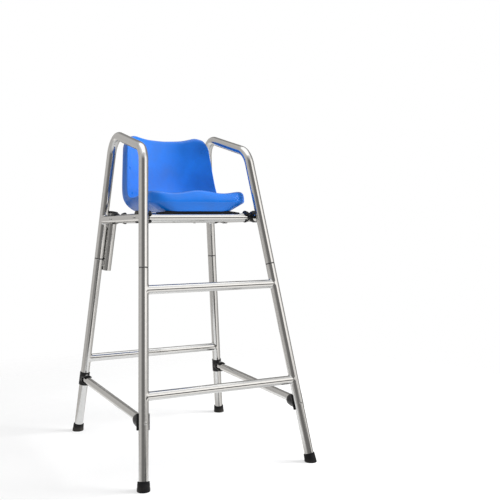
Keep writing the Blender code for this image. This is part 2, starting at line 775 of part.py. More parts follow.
ground_cutter = box_cutter(
    "ground",
    (-FOOT_HALF_WIDTH * 2, -FOOT_HALF_DEPTH * 2, -FOOT_HEIGHT * 2),
    (FOOT_HALF_WIDTH * 2, FOOT_HALF_DEPTH * 2, 0.0),
)
connector_holes = hole_pair(
    "connector_holes", bar_end(1, "front"), RIGHT, -PLUG_LENGTH, CONNECTOR_NECK + LEG_D * 2)
repeated(connector_holes, BAR_STEP)
seat_bolt_holes = hole_pair(
    "seat_bolt_holes", Vector((SEAT_BOLT_X, BAR_FRONT_Y, RAIL_Z)), UP, -BAR_D,
    BAR_R + PAD_THICKNESS + SEAT_BOLT_GRIP + GAP)
repeated(seat_bolt_holes, BAR_STEP)
brace_rear, brace_front, brace_run = brace_line(1)
collar_bolt_holes = hole_pair(
    "collar_bolt_holes", brace_rear + brace_run * COLLAR_BOLT_REACH, UP, -BRACE_D, BRACE_D)
bracket_bolt_holes = hole_pair("bracket_bolt_holes", brace_front, -brace_run, -LEG_D, LEG_D)

leg_lines = make_leg_cutters()
bar_lines = {
    end_name: rod_cutter(f"bar_line_{end_name}", bar_end(-1, end_name), bar_end(1, end_name), BAR_R + GAP)
    for end_name in BAR_Y
}

for hand, sign in SIDES:
    make_hoop(hand, sign)
    for end, is_front in ENDS:
        lower_leg = make_lower_leg(hand, sign, end, is_front)
        if is_front:
            cut(lower_leg, bracket_bolt_holes)
make_rungs(leg_lines)
rail_lines = make_rails(leg_lines)
make_cross_bars(rail_lines)
make_braces(leg_lines)
make_seat_pads(bar_lines)
make_seat()
make_pole_tube()
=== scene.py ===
"""Looks of a poolside lifeguard chair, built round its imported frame.

Metres, +Z up. The chair faces -Y, and left is -X, as seen from its front.
"""
import json
import math

import bmesh
import bpy
import numpy as np
from bpy.props import FloatProperty, FloatVectorProperty, IntProperty, PointerProperty
from bpy.types import Operator, Panel, PropertyGroup
from mathutils import Matrix

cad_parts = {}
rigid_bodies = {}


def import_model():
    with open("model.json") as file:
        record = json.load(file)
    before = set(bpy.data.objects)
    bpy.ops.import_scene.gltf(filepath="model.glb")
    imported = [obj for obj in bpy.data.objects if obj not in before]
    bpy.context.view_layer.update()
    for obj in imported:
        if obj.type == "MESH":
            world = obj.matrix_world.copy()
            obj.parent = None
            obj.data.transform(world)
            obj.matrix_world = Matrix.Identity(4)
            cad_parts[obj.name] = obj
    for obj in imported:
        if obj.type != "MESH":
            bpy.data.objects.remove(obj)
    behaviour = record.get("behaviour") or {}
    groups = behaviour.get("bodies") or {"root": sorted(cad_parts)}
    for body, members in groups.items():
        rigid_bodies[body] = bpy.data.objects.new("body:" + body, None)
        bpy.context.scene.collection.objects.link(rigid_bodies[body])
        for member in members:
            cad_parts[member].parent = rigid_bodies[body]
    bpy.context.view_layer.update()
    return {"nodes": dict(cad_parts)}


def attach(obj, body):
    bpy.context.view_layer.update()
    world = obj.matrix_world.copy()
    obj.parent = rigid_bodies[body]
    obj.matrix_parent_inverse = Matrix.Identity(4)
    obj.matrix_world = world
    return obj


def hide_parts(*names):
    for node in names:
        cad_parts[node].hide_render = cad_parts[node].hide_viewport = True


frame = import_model()

bl_info = {
    "name": "Lifeguard chair",
    "version": (1, 0, 0),
    "blender": (4, 5, 0),
    "location": "3D View > Sidebar > Chair",
    "description": "Dresses the frame of a poolside lifeguard chair with tubes, fittings, seat and finishes",
    "category": "Mesh",
}

SIDES = (("left", -1), ("right", 1))
ENDS = (("front", True), ("rear", False))
UP = np.array([0.0, 0.0, 1.0])
RIGHT = np.array([1.0, 0.0, 0.0])
# Slot of the record that each finish belongs to
SLOTS = {
    "steel": "polished_steel", "weld": "polished_steel", "joint": "joint_steel", "bolt": "bolt_steel",
    "black": "black_plastic", "rubber": "black_rubber", "blue": "blue_plastic",
}
# Half width and half length of cutters that reach well past a fitting
CUT_WIDE = 0.08
CUT_REACH = 0.1
# Collar bolt: its place along the jaws, and the height of its seat in their wall
PIN_SHARE = 0.55
PIN_SEAT = 0.7
# Degrees past which an edge of a moulding stays sharp
MOULDED_SHARP = 60.0


def metres(name, description, default):
    """Length property."""
    return FloatProperty(name=name, description=description, default=default, unit="LENGTH", precision=4)


def slope(name, description, default):
    """Number without a unit: a slope or a share."""
    return FloatProperty(name=name, description=description, default=default, precision=4)


def tint(name, description, default):
    """Linear colour property."""
    return FloatVectorProperty(
        name=name, description=description, default=default, subtype="COLOR", size=3, min=0.0, max=1.0)


class ChairSizes(PropertyGroup):
    """Stance, tubes and heights of the frame."""
    foot_half_width: metres("Foot half width", "Leg axis on the floor, from the middle sideways", 0.3965)
    foot_half_depth: metres("Foot half depth", "Leg axis on the floor, before or behind the middle", 0.490)
    side_lean: slope("Side lean", "Lean of all legs toward the middle", 0.104)
    front_lean: slope("Front lean", "Lean of the front legs to the rear", 0.255)
    rear_lean: slope("Rear lean", "Lean of the rear legs to the front", 0.127)
    leg_d: metres("Leg tube", "Diameter of legs and hoops", 0.042)
    bar_d: metres("Rung tube", "Diameter of rungs, rails and cross bars", 0.039)
    brace_d: metres("Brace tube", "Diameter of the lower side braces", 0.036)
    wall: metres("Tube wall", "Wall of every tube", 0.002)
    arm_rear_z: metres("Arm rear", "Height of the hoop's rear corner", 1.4855)
    arm_front_z: metres("Arm front", "Height of the hoop's front corner", 1.394)
    arm_bend: metres("Arm bend", "Radius of the hoop's bends", 0.092)
    joint_z: metres("Leg joint", "Height of the ring joints in the legs", 0.885)
    joint_ring: metres("Ring", "Width of the visible joint ring", 0.005)
    rail_z: metres("Rail", "Height of the side rails at the front cross bar", 1.0935)
    rail_fall: slope("Rail fall", "Fall of rails and seat toward the back", 0.040)
    rung_upper_z: metres("Upper rung", "Height of the front upper rung", 0.794)
    rung_lower_z: metres("Lower rung", "Height of the front lower rung", 0.364)
    rear_rung_z: metres("Rear rung", "Height of the rear rung", 0.380)
    brace_front_z: metres("Brace front", "Height of the braces at the front legs", 0.266)
    brace_rear_z: metres("Brace rear", "Height of the braces at the rear legs", 0.276)
    bar_leg_space: metres("Bar space", "Room between front legs and the front connectors", 0.014)
    bar_spacing: metres("Bar spacing", "Distance between the two cross bars", 0.328)
    weld_reach: metres("Weld reach", "Run of a ground weld along its tube", 0.0050)
    weld_lift: metres("Weld lift", "Lift of a ground weld over its corner", 0.0007)
    pole_d: metres("Pole tube", "Diameter of the umbrella pole tube", 0.045)
    pole_top_z: metres("Pole tube top", "Height of the pole tube's top", 1.112)
    pole_bottom_z: metres("Pole tube bottom", "Height of the pole tube's bottom", 0.830)
    gap: metres("Gap", "Clearance between pieces that touch", 0.0003)
    sides: IntProperty(name="Facets", description="Facets round a tube", default=64, min=16, max=128)


class FittingSizes(PropertyGroup):
    """Black fittings, feet and bolts."""
    cup: metres("Connector cup", "Reach of a connector over its bar", 0.0193)
    neck: metres("Connector neck", "Connector between bar end and rail", 0.0145)
    lip: metres("Connector lip", "Reach of a connector round its rail", 0.031)
    connector_wall: metres("Connector wall", "Connector over the bar's surface", 0.0077)
    waist: metres("Connector waist", "Radius of the connector's waist", 0.014)
    lift: metres("Connector lift", "Connector's middle over the bar's axis", 0.004)
    jaw_opening: metres("Jaw opening", "Height of the slots between jaws", 0.024)
    collar_wall: metres("Collar wall", "Wall of the rear collars", 0.003)
    collar_height: metres("Collar height", "Height of the rear collars", 0.067)
    jaw_wall: metres("Jaw wall", "Wall of the collar's jaws", 0.005)
    jaw_reach: metres("Jaw reach", "Reach of the collar's jaws over the brace", 0.036)
    bracket_wall: metres("Bracket wall", "Wall of the front brackets", 0.008)
    bracket_height: metres("Bracket height", "Height of the front brackets", 0.069)
    bracket_setback: metres("Bracket setback", "Bracket's edges behind the leg's axis", 0.0053)
    socket_depth: metres("Socket depth", "Reach of the bracket's socket over the brace", 0.034)
    socket_wall: metres("Socket wall", "Wall of the socket at its mouth", 0.006)
    socket_flare: metres("Socket flare", "Growth of the socket toward the leg", 0.0045)
    socket_drop: metres("Socket drop", "Socket's middle under the brace's axis", 0.005)
    floor: metres("Socket floor", "Wall between a leg's sleeve and the brace's end", 0.004)
    foot_height: metres("Foot height", "Height of the rubber feet", 0.038)
    foot_wall: metres("Foot wall", "Wall of the rubber feet", 0.004)
    foot_flare: metres("Foot flare", "Growth of a foot at the floor", 0.002)
    foot_floor: metres("Foot floor", "Rubber under the leg tube", 0.016)
    bolt_d: metres("Bolt", "Diameter of the bolt shafts", 0.008)
    head_d: metres("Bolt head", "Diameter of the bolt heads", 0.014)
    head_h: metres("Head height", "Height of the bolt heads", 0.005)
    seat_head_h: metres("Seat bolt head", "Height of the seat bolts' heads", 0.0025)
    plug: metres("Plug", "Length of the plugs in the bar ends", 0.026)


class SeatSizes(PropertyGroup):
    """Moulded seat and its pads."""
    pad_thickness: metres("Pad", "Thickness of the pads over the bars", 0.011)
    pad_width: metres("Pad width", "Width of the pads", 0.017)
    pad_share: slope("Pad length", "Pad length as a part of the seat's width", 0.83)
    bolt_share: slope("Seat bolts", "Place of the seat bolts as a part of the pad", 0.60)
    arm_space: metres("Arm space", "Room between the seat's top and the arms", 0.0136)
    back_taper: slope("Back taper", "Narrowing of the back toward its top", 0.143)
    rear_spread: metres("Rear spread", "Growth of the half width toward the rear", -0.0095)
    corner: metres("Corner", "Setback of the front at its rounded corners", 0.045)
    under_taper: slope("Under taper", "Narrowing of the seat under its crease", 0.28)
    under_height: metres("Crease", "Height of the crease round the seat", 0.038)
    overhang: metres("Overhang", "Seat's front before the front bar", 0.026)
    lip_height: metres("Lip", "Height of the front lip", 0.086)
    lip_wave: metres("Lip wave", "Rise of the lip in the middle", 0.007)
    pan_height: metres("Pan", "Height of the pan in the middle", 0.050)
    rim_height: metres("Rim", "Height of the pan at the sides", 0.068)
    depth: metres("Depth", "Depth of the pan", 0.378)
    back_height: metres("Back", "Height of the back in the middle", 0.352)
    ear: metres("Ear", "Rise of the back's top near the sides", 0.020)
    recline: slope("Recline", "Lean of the back", 0.205)
    hollow: metres("Hollow", "Depth of the hollow across the back", 0.050)
    rear_hollow: metres("Rear hollow", "Bow of the back's rear side", 0.004)
    back_thick: metres("Back thickness", "Measure of the back's thickness", 0.0245)


class FinishColours(PropertyGroup):
    """Colours of the finishes."""
    steel: tint("Polished steel", "Tubes", (0.66, 0.66, 0.65))
    weld: tint("Weld", "Stitch welds of the umbrella tube", (0.58, 0.57, 0.55))
    joint: tint("Joint ring", "Rings in the legs", (0.20, 0.20, 0.20))
    bolt: tint("Bolts", "Bolt heads", (0.60, 0.60, 0.59))
    black: tint("Black plastic", "Moulded fittings", (0.010, 0.010, 0.011))
    rubber: tint("Rubber", "Feet and pads", (0.006, 0.006, 0.007))
    blue: tint("Blue plastic", "Seat", (0.0003, 0.168, 0.72))


def chair():
    """Frame sizes of this scene."""
    return bpy.context.scene.chair_sizes


def fitting():
    """Fitting sizes of this scene."""
    return bpy.context.scene.fitting_sizes


def seating():
    """Seat sizes of this scene."""
    return bpy.context.scene.seat_sizes


def unit(vectors):
    """Vectors at length one."""
    return vectors / np.linalg.norm(vectors, axis=-1, keepdims=True)


def leg_point(side, front, height):
    """Point of a leg's axis."""
    s = chair()
    across = side * (s.foot_half_width - s.side_lean * height)
    along = s.front_lean * height - s.foot_half_depth if front else s.foot_half_depth - s.rear_lean * height
    return np.array([across, along, height])


def leg_axis(side, front):
    """Unit vector up a leg."""
    return unit(leg_point(side, front, 1.0) - leg_point(side, front, 0.0))


def bar_front_y():
    """Front cross bar's place, behind the front legs."""
    s, f = chair(), fitting()
    connector_r = s.bar_d / 2 + s.gap + f.connector_wall
    return leg_point(1, True, s.rail_z)[1] + s.leg_d / 2 + connector_r + s.bar_leg_space


def bar_y(front):
    """Place of a cross bar."""
    return bar_front_y() if front else bar_front_y() + chair().bar_spacing


def rail_ends(side):
    """Rail's axis on its front and rear legs: the leg's line met with the rail's falling line."""
    s, start = chair(), bar_front_y()
    front_z = (s.rail_z + s.rail_fall * (s.foot_half_depth + start)) / (1.0 + s.rail_fall * s.front_lean)
    rear_z = (s.rail_z - s.rail_fall * (s.foot_half_depth - start)) / (1.0 - s.rail_fall * s.rear_lean)
    return leg_point(side, True, front_z), leg_point(side, False, rear_z)


def rail_point(side, along):
    """Point of a rail's axis at a place along Y."""
    start, end = rail_ends(side)
    return start + (end - start) * (along - start[1]) / (end[1] - start[1])


def bar_end(side, front):
    """End of a cross bar's axis, a connector's neck short of the rail."""
    s = chair()
    return rail_point(side, bar_y(front)) - RIGHT * side * (s.bar_d / 2 + s.gap + fitting().neck)


def brace_line(side):
    """Leg points of a brace, rear and front, and the unit vector forward along it."""
    s = chair()
    rear = leg_point(side, False, s.brace_rear_z)
    front = leg_point(side, True, s.brace_front_z)
    return rear, front, unit(front - rear)


def brace_face(wall):
    """Distance of a brace's end from the leg's axis, past a fitting's wall and its floor."""
    s = chair()
    return s.leg_d / 2 + s.gap + wall + fitting().floor


def axes_about(axis):
    """Two unit vectors square to an axis and to each other."""
    helper = RIGHT if abs(axis[0]) < 0.7 else UP
    first = unit(np.cross(axis, helper))
    return first, np.cross(axis, first)


def ring(axis, sides):
    """Unit vectors round an axis: cos(a) first + sin(a) second."""
    first, second = axes_about(axis)
    angle = np.linspace(0.0, math.tau, sides, endpoint=False)[:, None]
    return np.cos(angle) * first + np.sin(angle) * second


def skin(points, wrap_rows=False):
    """Quads over a grid closed across its columns, mapped in metres: u along columns, v along rows."""
    rows, columns = points.shape[:2]
    row_ring = np.concatenate([points, points[:1]])
    column_ring = np.concatenate([points, points[:, :1]], axis=1)
    row_step = np.linalg.norm(np.diff(row_ring, axis=0), axis=2).mean(axis=1)
    column_step = np.linalg.norm(np.diff(column_ring, axis=1), axis=2).mean(axis=0)
    v = np.concatenate([[0.0], np.cumsum(row_step)])
    u = np.concatenate([[0.0], np.cumsum(column_step)])
    i = np.arange(rows if wrap_rows else rows - 1)[:, None]
    j = np.arange(columns)[None, :]
    corners = ((i, j), (i, j + 1), (i + 1, j + 1), (i + 1, j))
    faces = np.stack([(a % rows) * columns + b % columns for a, b in corners], axis=-1)
    maps = np.stack([np.stack(np.broadcast_arrays(u[b], v[a]), axis=-1) for a, b in corners], axis=-2)
    return points.reshape(-1, 3), faces.reshape(-1, 4), maps.reshape(-1, 4, 2)


def joined(shells):
    """Several shells as one."""
    counts = np.cumsum([0] + [len(points) for points, _, _ in shells])
    points = np.concatenate([shell[0] for shell in shells])
    faces = np.concatenate([shell[1] + start for shell, start in zip(shells, counts)])
    maps = np.concatenate([shell[2] for shell in shells])
    return points, faces, maps


def mesh_from(name, shells, sharp=35.0):
    """Mesh of closed shells: poles merged, faces outward, smooth but for sharp edges."""
    points, faces, maps = joined(shells)
    mesh = bpy.data.meshes.new(name)
    mesh.vertices.add(len(points))
    mesh.vertices.foreach_set("co", points.astype(np.float32).ravel())
    mesh.loops.add(faces.size)
    mesh.loops.foreach_set("vertex_index", faces.astype(np.int32).ravel())
    mesh.polygons.add(len(faces))
    mesh.polygons.foreach_set("loop_start", np.arange(0, faces.size, 4, dtype=np.int32))
    mesh.uv_layers.new(name="surface").data.foreach_set("uv", maps.astype(np.float32).ravel())
    mesh.update(calc_edges=True)
    tidy_mesh(mesh, sharp)
    return mesh


def tidy_mesh(mesh, sharp):
    """Merge doubles, turn the faces outward and mark sharp edges."""
    shape = bmesh.new()
    shape.from_mesh(mesh)
    bmesh.ops.remove_doubles(shape, verts=shape.verts, dist=0.000002)
    bmesh.ops.recalc_face_normals(shape, faces=shape.faces)
    shape.to_mesh(mesh)
    shape.free()
    mesh.shade_smooth()
    mesh.set_sharp_from_angle(angle=math.radians(sharp))


def add_piece(name, mesh, use, *stands_for):
    """Piece of the chair with the finish for its use, in the place of CAD nodes."""
    piece = bpy.data.objects.new(name, mesh)
    mesh.materials.clear()
    mesh.materials.append(make_finishes()[use])
    bpy.context.scene.collection.objects.link(piece)
    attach(piece, "root")
    if stands_for:
        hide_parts(*stands_for)
    return piece


def add_shells(name, shells, use, *stands_for, sharp=35.0):
    """Piece made of closed shells."""
    return add_piece(name, mesh_from(name, shells, sharp), use, *stands_for)


def revolve(profile, origin, axis, sides=64, loop=False):
    """Profile of (radius, height) pairs turned round an axis: origin + height axis + radius ring."""
    profile = np.asarray(profile, float)
    spokes = ring(axis, sides)
    grid = origin + profile[:, 1, None, None] * axis + profile[:, 0, None, None] * spokes[None]
    return skin(grid, wrap_rows=loop)


def rod(start, end, radius, sides=64):
    """Solid round bar between two points."""
    run = end - start
    length = np.linalg.norm(run)
    return revolve([(0.0, 0.0), (radius, 0.0), (radius, length), (0.0, length)], start, run / length, sides)


def block(low, high, origin, axes=np.eye(3)):
    """Square block along three axes: the corners of a ring of four, closed at both ends."""
    low, high = np.asarray(low), np.asarray(high)
    square = np.array([[0, 0], [1, 0], [1, 1], [0, 1]], float)
    flat = low[:2] + square * (high[:2] - low[:2])
    middle = np.repeat(flat.mean(axis=0)[None], 4, axis=0)
    rows = ((middle, low[2]), (flat, low[2]), (flat, high[2]), (middle, high[2]))
    grid = np.stack([np.column_stack([place, np.full(4, height)]) for place, height in rows])
    return skin(grid @ axes + origin)


def drum(radius, half, bevel):
    """Profile of a solid drum with bevelled edges, as (radius, height) pairs."""
    return [
        (0.0, -half), (radius - bevel, -half), (radius, -half + bevel),
        (radius, half - bevel), (radius - bevel, half), (0.0, half),
    ]


def tube(path, radius, flat, sides, chamfer=0.0006):
    """Hollow tube: a circle carried out along a flat path at the outer wall and back at the inner one."""
    step = unit(np.diff(path, axis=0))
    tangent = unit(np.concatenate([step[:1], step[:-1] + step[1:], step[-1:]]))
    inner = radius - chair().wall
    first = tangent[0] * chamfer
    last = tangent[-1] * chamfer
    places = np.concatenate([
        path[:1], path[:1] + first, path[1:-1], path[-1:] - last, path[-1:], path[::-1]])
    tangents = np.concatenate([
        tangent[:1], tangent[:1], tangent[1:-1], tangent[-1:], tangent[-1:], tangent[::-1]])
    count = len(path)
    radii = np.concatenate([
        [radius - chamfer], np.full(count, radius), [radius - chamfer], np.full(count, inner)])
    angle = np.linspace(0.0, math.tau, sides, endpoint=False)[None, :, None]
    out = np.cross(flat, tangents)[:, None, :]
    spokes = np.cos(angle) * out + np.sin(angle) * flat
    return skin(places[:, None, :] + radii[:, None, None] * spokes, wrap_rows=True)


def straight_tube(start, end, diameter):
    """Hollow tube between two points."""
    path = start + np.linspace(0.0, 1.0, 9)[:, None] * (end - start)
    return tube(path, diameter / 2, axes_about(unit(end - start))[0], chair().sides)


def leg_reach(offset, run, axis, radius):
    """Distance along a run at which a line starting at an offset from a leg's axis leaves the leg.

    With m(v) the part of v square to the axis, it is the far root of |m(offset) + t m(run)| = radius.
    """
    across = offset - (offset @ axis)[:, None] * axis
    along = run - (run @ axis) * axis
    a = along @ along
    b = across @ along
    c = np.sum(across ** 2, axis=1) - radius ** 2
    return (np.sqrt(b ** 2 - a * c) - b) / a


def coped_tube(start, end, diameter, start_axis, end_axis, sink=0.0005):
    """Hollow tube between two leg axes whose ends follow the legs' round surfaces."""
    s = chair()
    run = unit(end - start)
    length = np.linalg.norm(end - start)
    spokes = ring(run, s.sides)
    share = np.linspace(0.0, 1.0, 13)[:, None]
    walls = []
    for radius in (diameter / 2, diameter / 2 - s.wall):
        first = leg_reach(radius * spokes, run, start_axis, s.leg_d / 2) - sink
        last = length - leg_reach(radius * spokes, -run, end_axis, s.leg_d / 2) + sink
        reach = first + share * (last - first)
        walls.append(start + radius * spokes + reach[:, :, None] * run)
    return skin(np.concatenate([walls[0], walls[1][::-1]]), wrap_rows=True)


def weld_fillet(start, run, radius, axis, sides=192, steps=9):
    """Ground weld where a tube meets a leg: a curved strip round their meeting line L.

    Its top is L + reach run on the tube. Its foot is L unrolled on the leg as (r angle, height) and moved
    outward there. Between them it is (1 - t)^2 top + 2 t (1 - t) middle + t^2 foot, the middle lifted off L.
    """
    s = chair()
    leg_r = s.leg_d / 2
    spokes = ring(run, sides)
    offset = radius * spokes + leg_reach(radius * spokes, run, axis, leg_r)[:, None] * run
    forward = unit(run - (run @ axis) * axis)
    aside = np.cross(axis, forward)
    angle = np.arctan2(offset @ aside, offset @ forward)
    unrolled = np.column_stack([leg_r * angle, offset @ axis])
    along = np.roll(unrolled, -1, axis=0) - np.roll(unrolled, 1, axis=0)
    outward = unit(np.column_stack([along[:, 1], -along[:, 0]]))
    outward *= np.sign(np.sum(outward * unrolled, axis=1))[:, None]
    shallow = (spokes @ aside)[:, None] ** 2
    around = np.linspace(0.0, math.tau, sides, endpoint=False)[:, None]
    # The strip's width wanders a little, three times round
    wander = 1.0 + 0.06 * np.sin(3 * around + 1.0)
    spread = unrolled + s.weld_reach * wander * (1.0 + shallow) * outward
    bearing = spread[:, :1] / leg_r
    foot_out = np.cos(bearing) * forward + np.sin(bearing) * aside
    sunk = 0.00006
    foot = (leg_r - sunk) * foot_out + spread[:, 1:] * axis
    top = offset + s.weld_reach * wander * run - sunk * spokes
    leg_out = np.cos(angle)[:, None] * forward + np.sin(angle)[:, None] * aside
    lift = unit(spokes + leg_out)
    middle = offset + s.weld_lift * (1.0 + shallow) * lift
    rows = [
        (1 - t) ** 2 * top + 2 * t * (1 - t) * middle + t ** 2 * foot
        for t in np.linspace(0.0, 1.0, steps)
    ]
    rows.append(offset - s.wall / 2 * lift)
    return skin(start + np.stack(rows), wrap_rows=True)


def rounded_path(corners, radius, steps=20):
    """Path through its corners with arcs in place of them: start + r sin(a) in + r (1 - cos(a)) toward."""
    parts = [corners[0][None]]
    for before, corner, after in zip(corners, corners[1:], corners[2:]):
        inward = unit(corner - before)
        outward = unit(after - corner)
        turn = math.acos(inward @ outward)
        start = corner - inward * radius * math.tan(turn / 2)
        toward = unit(outward - inward * (inward @ outward))
        angle = np.linspace(0.0, turn, steps + 1)[:, None]
        parts.append(start + radius * ((1.0 - np.cos(angle)) * toward + np.sin(angle) * inward))
    parts.append(corners[-1][None])
    return np.concatenate(parts)


def evaluated_mesh(holder, name):
    """Mesh of an object with its modifiers applied; the object goes."""
    graph = bpy.context.evaluated_depsgraph_get()
    mesh = bpy.data.meshes.new_from_object(holder.evaluated_get(graph))
    mesh.name = name
    bpy.data.objects.remove(holder, do_unlink=True)
    return mesh


def voxels(holder, size):
    """Fuse overlapping shells into one skin of small cells."""
    step = holder.modifiers.new("fuse", "REMESH")
    step.mode = "VOXEL"
    step.voxel_size = size


def moulded(name, solids, cutters, voxel=0.0011):
    """Moulded fitting: solids fused, bores and slots cut, and the edges softened."""
    scene = bpy.context.scene.collection.objects
    holder = bpy.data.objects.new(name, mesh_from(name, solids))
    scene.link(holder)
    voxels(holder, voxel)
    tools = []
    for index, shell in enumerate(cutters):
        tool = bpy.data.objects.new(f"{name}_tool_{index}", mesh_from(f"{name}_tool_{index}", [shell]))
        scene.link(tool)
        tools.append(tool)
        step = holder.modifiers.new("cut", "BOOLEAN")
        step.operation = "DIFFERENCE"
        step.solver = "EXACT"
        step.object = tool
    voxels(holder, voxel)
    soften = holder.modifiers.new("soften", "SMOOTH")
    soften.factor = 0.5
    soften.iterations = 4
    mesh = evaluated_mesh(holder, name)
    for tool in tools:
        bpy.data.objects.remove(tool, do_unlink=True)
    tidy_mesh(mesh, MOULDED_SHARP)
    return mesh


def other_side(mesh, name):
    """Copy of a right-hand mesh for the left side of the chair, faces outward again."""
    pair = mesh.copy()
    pair.name = name
    pair.transform(Matrix.Scale(-1.0, 4, (1.0, 0.0, 0.0)))
    tidy_mesh(pair, MOULDED_SHARP)
    return pair


def moved(mesh, name, step):
    """Copy of a mesh at a step from it."""
    pair = mesh.copy()
    pair.name = name
    pair.transform(Matrix.Translation(step))
    return pair


def add_pair(right, left_name, piece, node):
    """Black moulding of the right side, and its mirror image on the left."""
    left = other_side(right, left_name)
    for side_name, mesh in (("left", left), ("right", right)):
        add_piece(f"{piece}_{side_name}", mesh, "black", f"{node}_{side_name}")


class Nodes:
    """Short way to lay out shader nodes in a tree."""

    def __init__(self, tree):
        self.tree = tree

    def add(self, kind, **values):
        """Node with its settings and constant inputs."""
        node = self.tree.nodes.new(kind)
        for key, value in values.items():
            if hasattr(node, key):
                setattr(node, key, value)
            else:
                node.inputs[key.replace("_", " ")].default_value = value
        return node

    def link(self, source, target):
        """Wire between two sockets."""
        self.tree.links.new(source, target)

    def math(self, operation, first, second=None):
        """Arithmetic on sockets or numbers."""
        node = self.add("ShaderNodeMath", operation=operation)
        for index, value in enumerate((first, second)):
            if value is None:
                continue
            if isinstance(value, (int, float)):
                node.inputs[index].default_value = value
            else:
                self.link(value, node.inputs[index])
        return node.outputs[0]

    def noise(self, vector, scale, detail=3.0, rough=0.55):
        """Noise value over a vector."""
        node = self.add("ShaderNodeTexNoise")
        node.inputs["Scale"].default_value = scale
        node.inputs["Detail"].default_value = detail
        node.inputs["Roughness"].default_value = rough
        self.link(vector, node.inputs["Vector"])
        return node.outputs["Fac"]

    def span(self, value, low, high, out_low, out_high):
        """Value carried from one range to another, held at its ends."""
        node = self.add("ShaderNodeMapRange")
        sockets = ("From Min", "From Max", "To Min", "To Max")
        for socket, number in zip(sockets, (low, high, out_low, out_high)):
            node.inputs[socket].default_value = number
        self.link(value, node.inputs["Value"])
        return node.outputs["Result"]

    def blend(self, factor, first, second):
        """Mix of two colours, given as sockets or tuples."""
        node = self.add("ShaderNodeMix", data_type="RGBA")
        self.link(factor, node.inputs["Factor"])
        for index, value in ((6, first), (7, second)):
            if isinstance(value, tuple):
                node.inputs[index].default_value = (*value, 1.0)
            else:
                self.link(value, node.inputs[index])
        return node.outputs[2]

    def seen(self, rays):
        """One for the camera's rays, reflections and rays through glass, zero for rays that only light."""
        most = self.math("MAXIMUM", rays["Is Camera Ray"], rays["Is Glossy Ray"])
        return self.math("MAXIMUM", most, rays["Is Transmission Ray"])


def make_group(name, inputs, outputs):
    """Empty node group with named sockets; returns its layout helper, its inputs and its outputs."""
    tree = bpy.data.node_groups.new(name, "ShaderNodeTree")
    for socket, kind, default in inputs:
        made = tree.interface.new_socket(name=socket, in_out="INPUT", socket_type=kind)
        if default is not None:
            made.default_value = default
    for socket in outputs:
        tree.interface.new_socket(name=socket, in_out="OUTPUT", socket_type="NodeSocketFloat")
    layout = Nodes(tree)
    return layout, layout.add("NodeGroupInput").outputs, layout.add("NodeGroupOutput").inputs


def speckle_group():
    """Moulded surface: fine grain for bump, and slow blotches for colour and gloss."""
    layout, given, out = make_group(
        "moulded_surface",
        [("Vector", "NodeSocketVector", None), ("Grain Scale", "NodeSocketFloat", 900.0),
         ("Blotch Scale", "NodeSocketFloat", 14.0)],
        ["Grain", "Blotch"])
    for scale, target, detail in (("Grain Scale", "Grain", 2.0), ("Blotch Scale", "Blotch", 4.0)):
        noise = layout.add("ShaderNodeTexNoise")
        noise.inputs["Detail"].default_value = detail
        layout.link(given["Vector"], noise.inputs["Vector"])
        layout.link(given[scale], noise.inputs["Scale"])
        layout.link(noise.outputs["Fac"], out[target])
    return layout.tree


def scuff_group():
    """Use marks: thin crossing scratches that come and go in patches."""
    layout, given, out = make_group(
        "use_marks",
        [("Vector", "NodeSocketVector", None), ("Scale", "NodeSocketFloat", 30.0)],
        ["Marks"])
    marks = None
    for turn in (0.5, 2.2):
        mapping = layout.add("ShaderNodeMapping")
        mapping.inputs["Rotation"].default_value = (0.3, turn, turn)
        mapping.inputs["Scale"].default_value = (1.0, 14.0, 9.0)
        layout.link(given["Vector"], mapping.inputs["Vector"])
        noise = layout.add("ShaderNodeTexNoise")
        noise.inputs["Detail"].default_value = 3.0
        layout.link(mapping.outputs["Vector"], noise.inputs["Vector"])
        layout.link(given["Scale"], noise.inputs["Scale"])
        line = layout.span(noise.outputs["Fac"], 0.66, 0.72, 0.0, 1.0)
        marks = line if marks is None else layout.math("MAXIMUM", marks, line)
    patch = layout.noise(given["Vector"], 6.0, 2.0)
    layout.link(layout.math("MULTIPLY", marks, layout.span(patch, 0.45, 0.62, 0.0, 1.0)), out["Marks"])
    return layout.tree


def polish_group():
    """Polished tube: lines along the tube, slow waves of the wall, and dull spots."""
    layout, given, out = make_group(
        "polish_lines",
        [("Vector", "NodeSocketVector", None)],
        ["Lines", "Waves", "Spots"])
    stretch = layout.add("ShaderNodeMapping")
    stretch.inputs["Scale"].default_value = (700.0, 5.0, 1.0)
    layout.link(given["Vector"], stretch.inputs["Vector"])
    layout.link(layout.noise(stretch.outputs["Vector"], 1.0, 3.0), out["Lines"])
    slow = layout.add("ShaderNodeMapping")
    slow.inputs["Scale"].default_value = (26.0, 7.0, 1.0)
    layout.link(given["Vector"], slow.inputs["Vector"])
    layout.link(layout.noise(slow.outputs["Vector"], 1.0, 2.0), out["Waves"])
    layout.link(layout.noise(given["Vector"], 60.0, 5.0, 0.6), out["Spots"])
    return layout.tree


def group_node(layout, tree, vector, **values):
    """Group placed in a material with its own values."""
    node = layout.add("ShaderNodeGroup")
    node.node_tree = tree
    layout.link(vector, node.inputs["Vector"])
    for key, value in values.items():
        node.inputs[key.replace("_", " ")].default_value = value
    return node.outputs


def new_finish(name):
    """Material with a Principled shader and its layout helper."""
    finish = bpy.data.materials.get(name)
    if finish:
        bpy.data.materials.remove(finish)
    finish = bpy.data.materials.new(name)
    finish.use_nodes = True
    layout = Nodes(finish.node_tree)
    return finish, layout, finish.node_tree.nodes["Principled BSDF"].inputs


def bump(layout, shader, height, strength, distance):
    """Bump node on the shader's normal."""
    node = layout.add("ShaderNodeBump")
    node.inputs["Strength"].default_value = strength
    node.inputs["Distance"].default_value = distance
    layout.link(height, node.inputs["Height"])
    layout.link(node.outputs["Normal"], shader["Normal"])


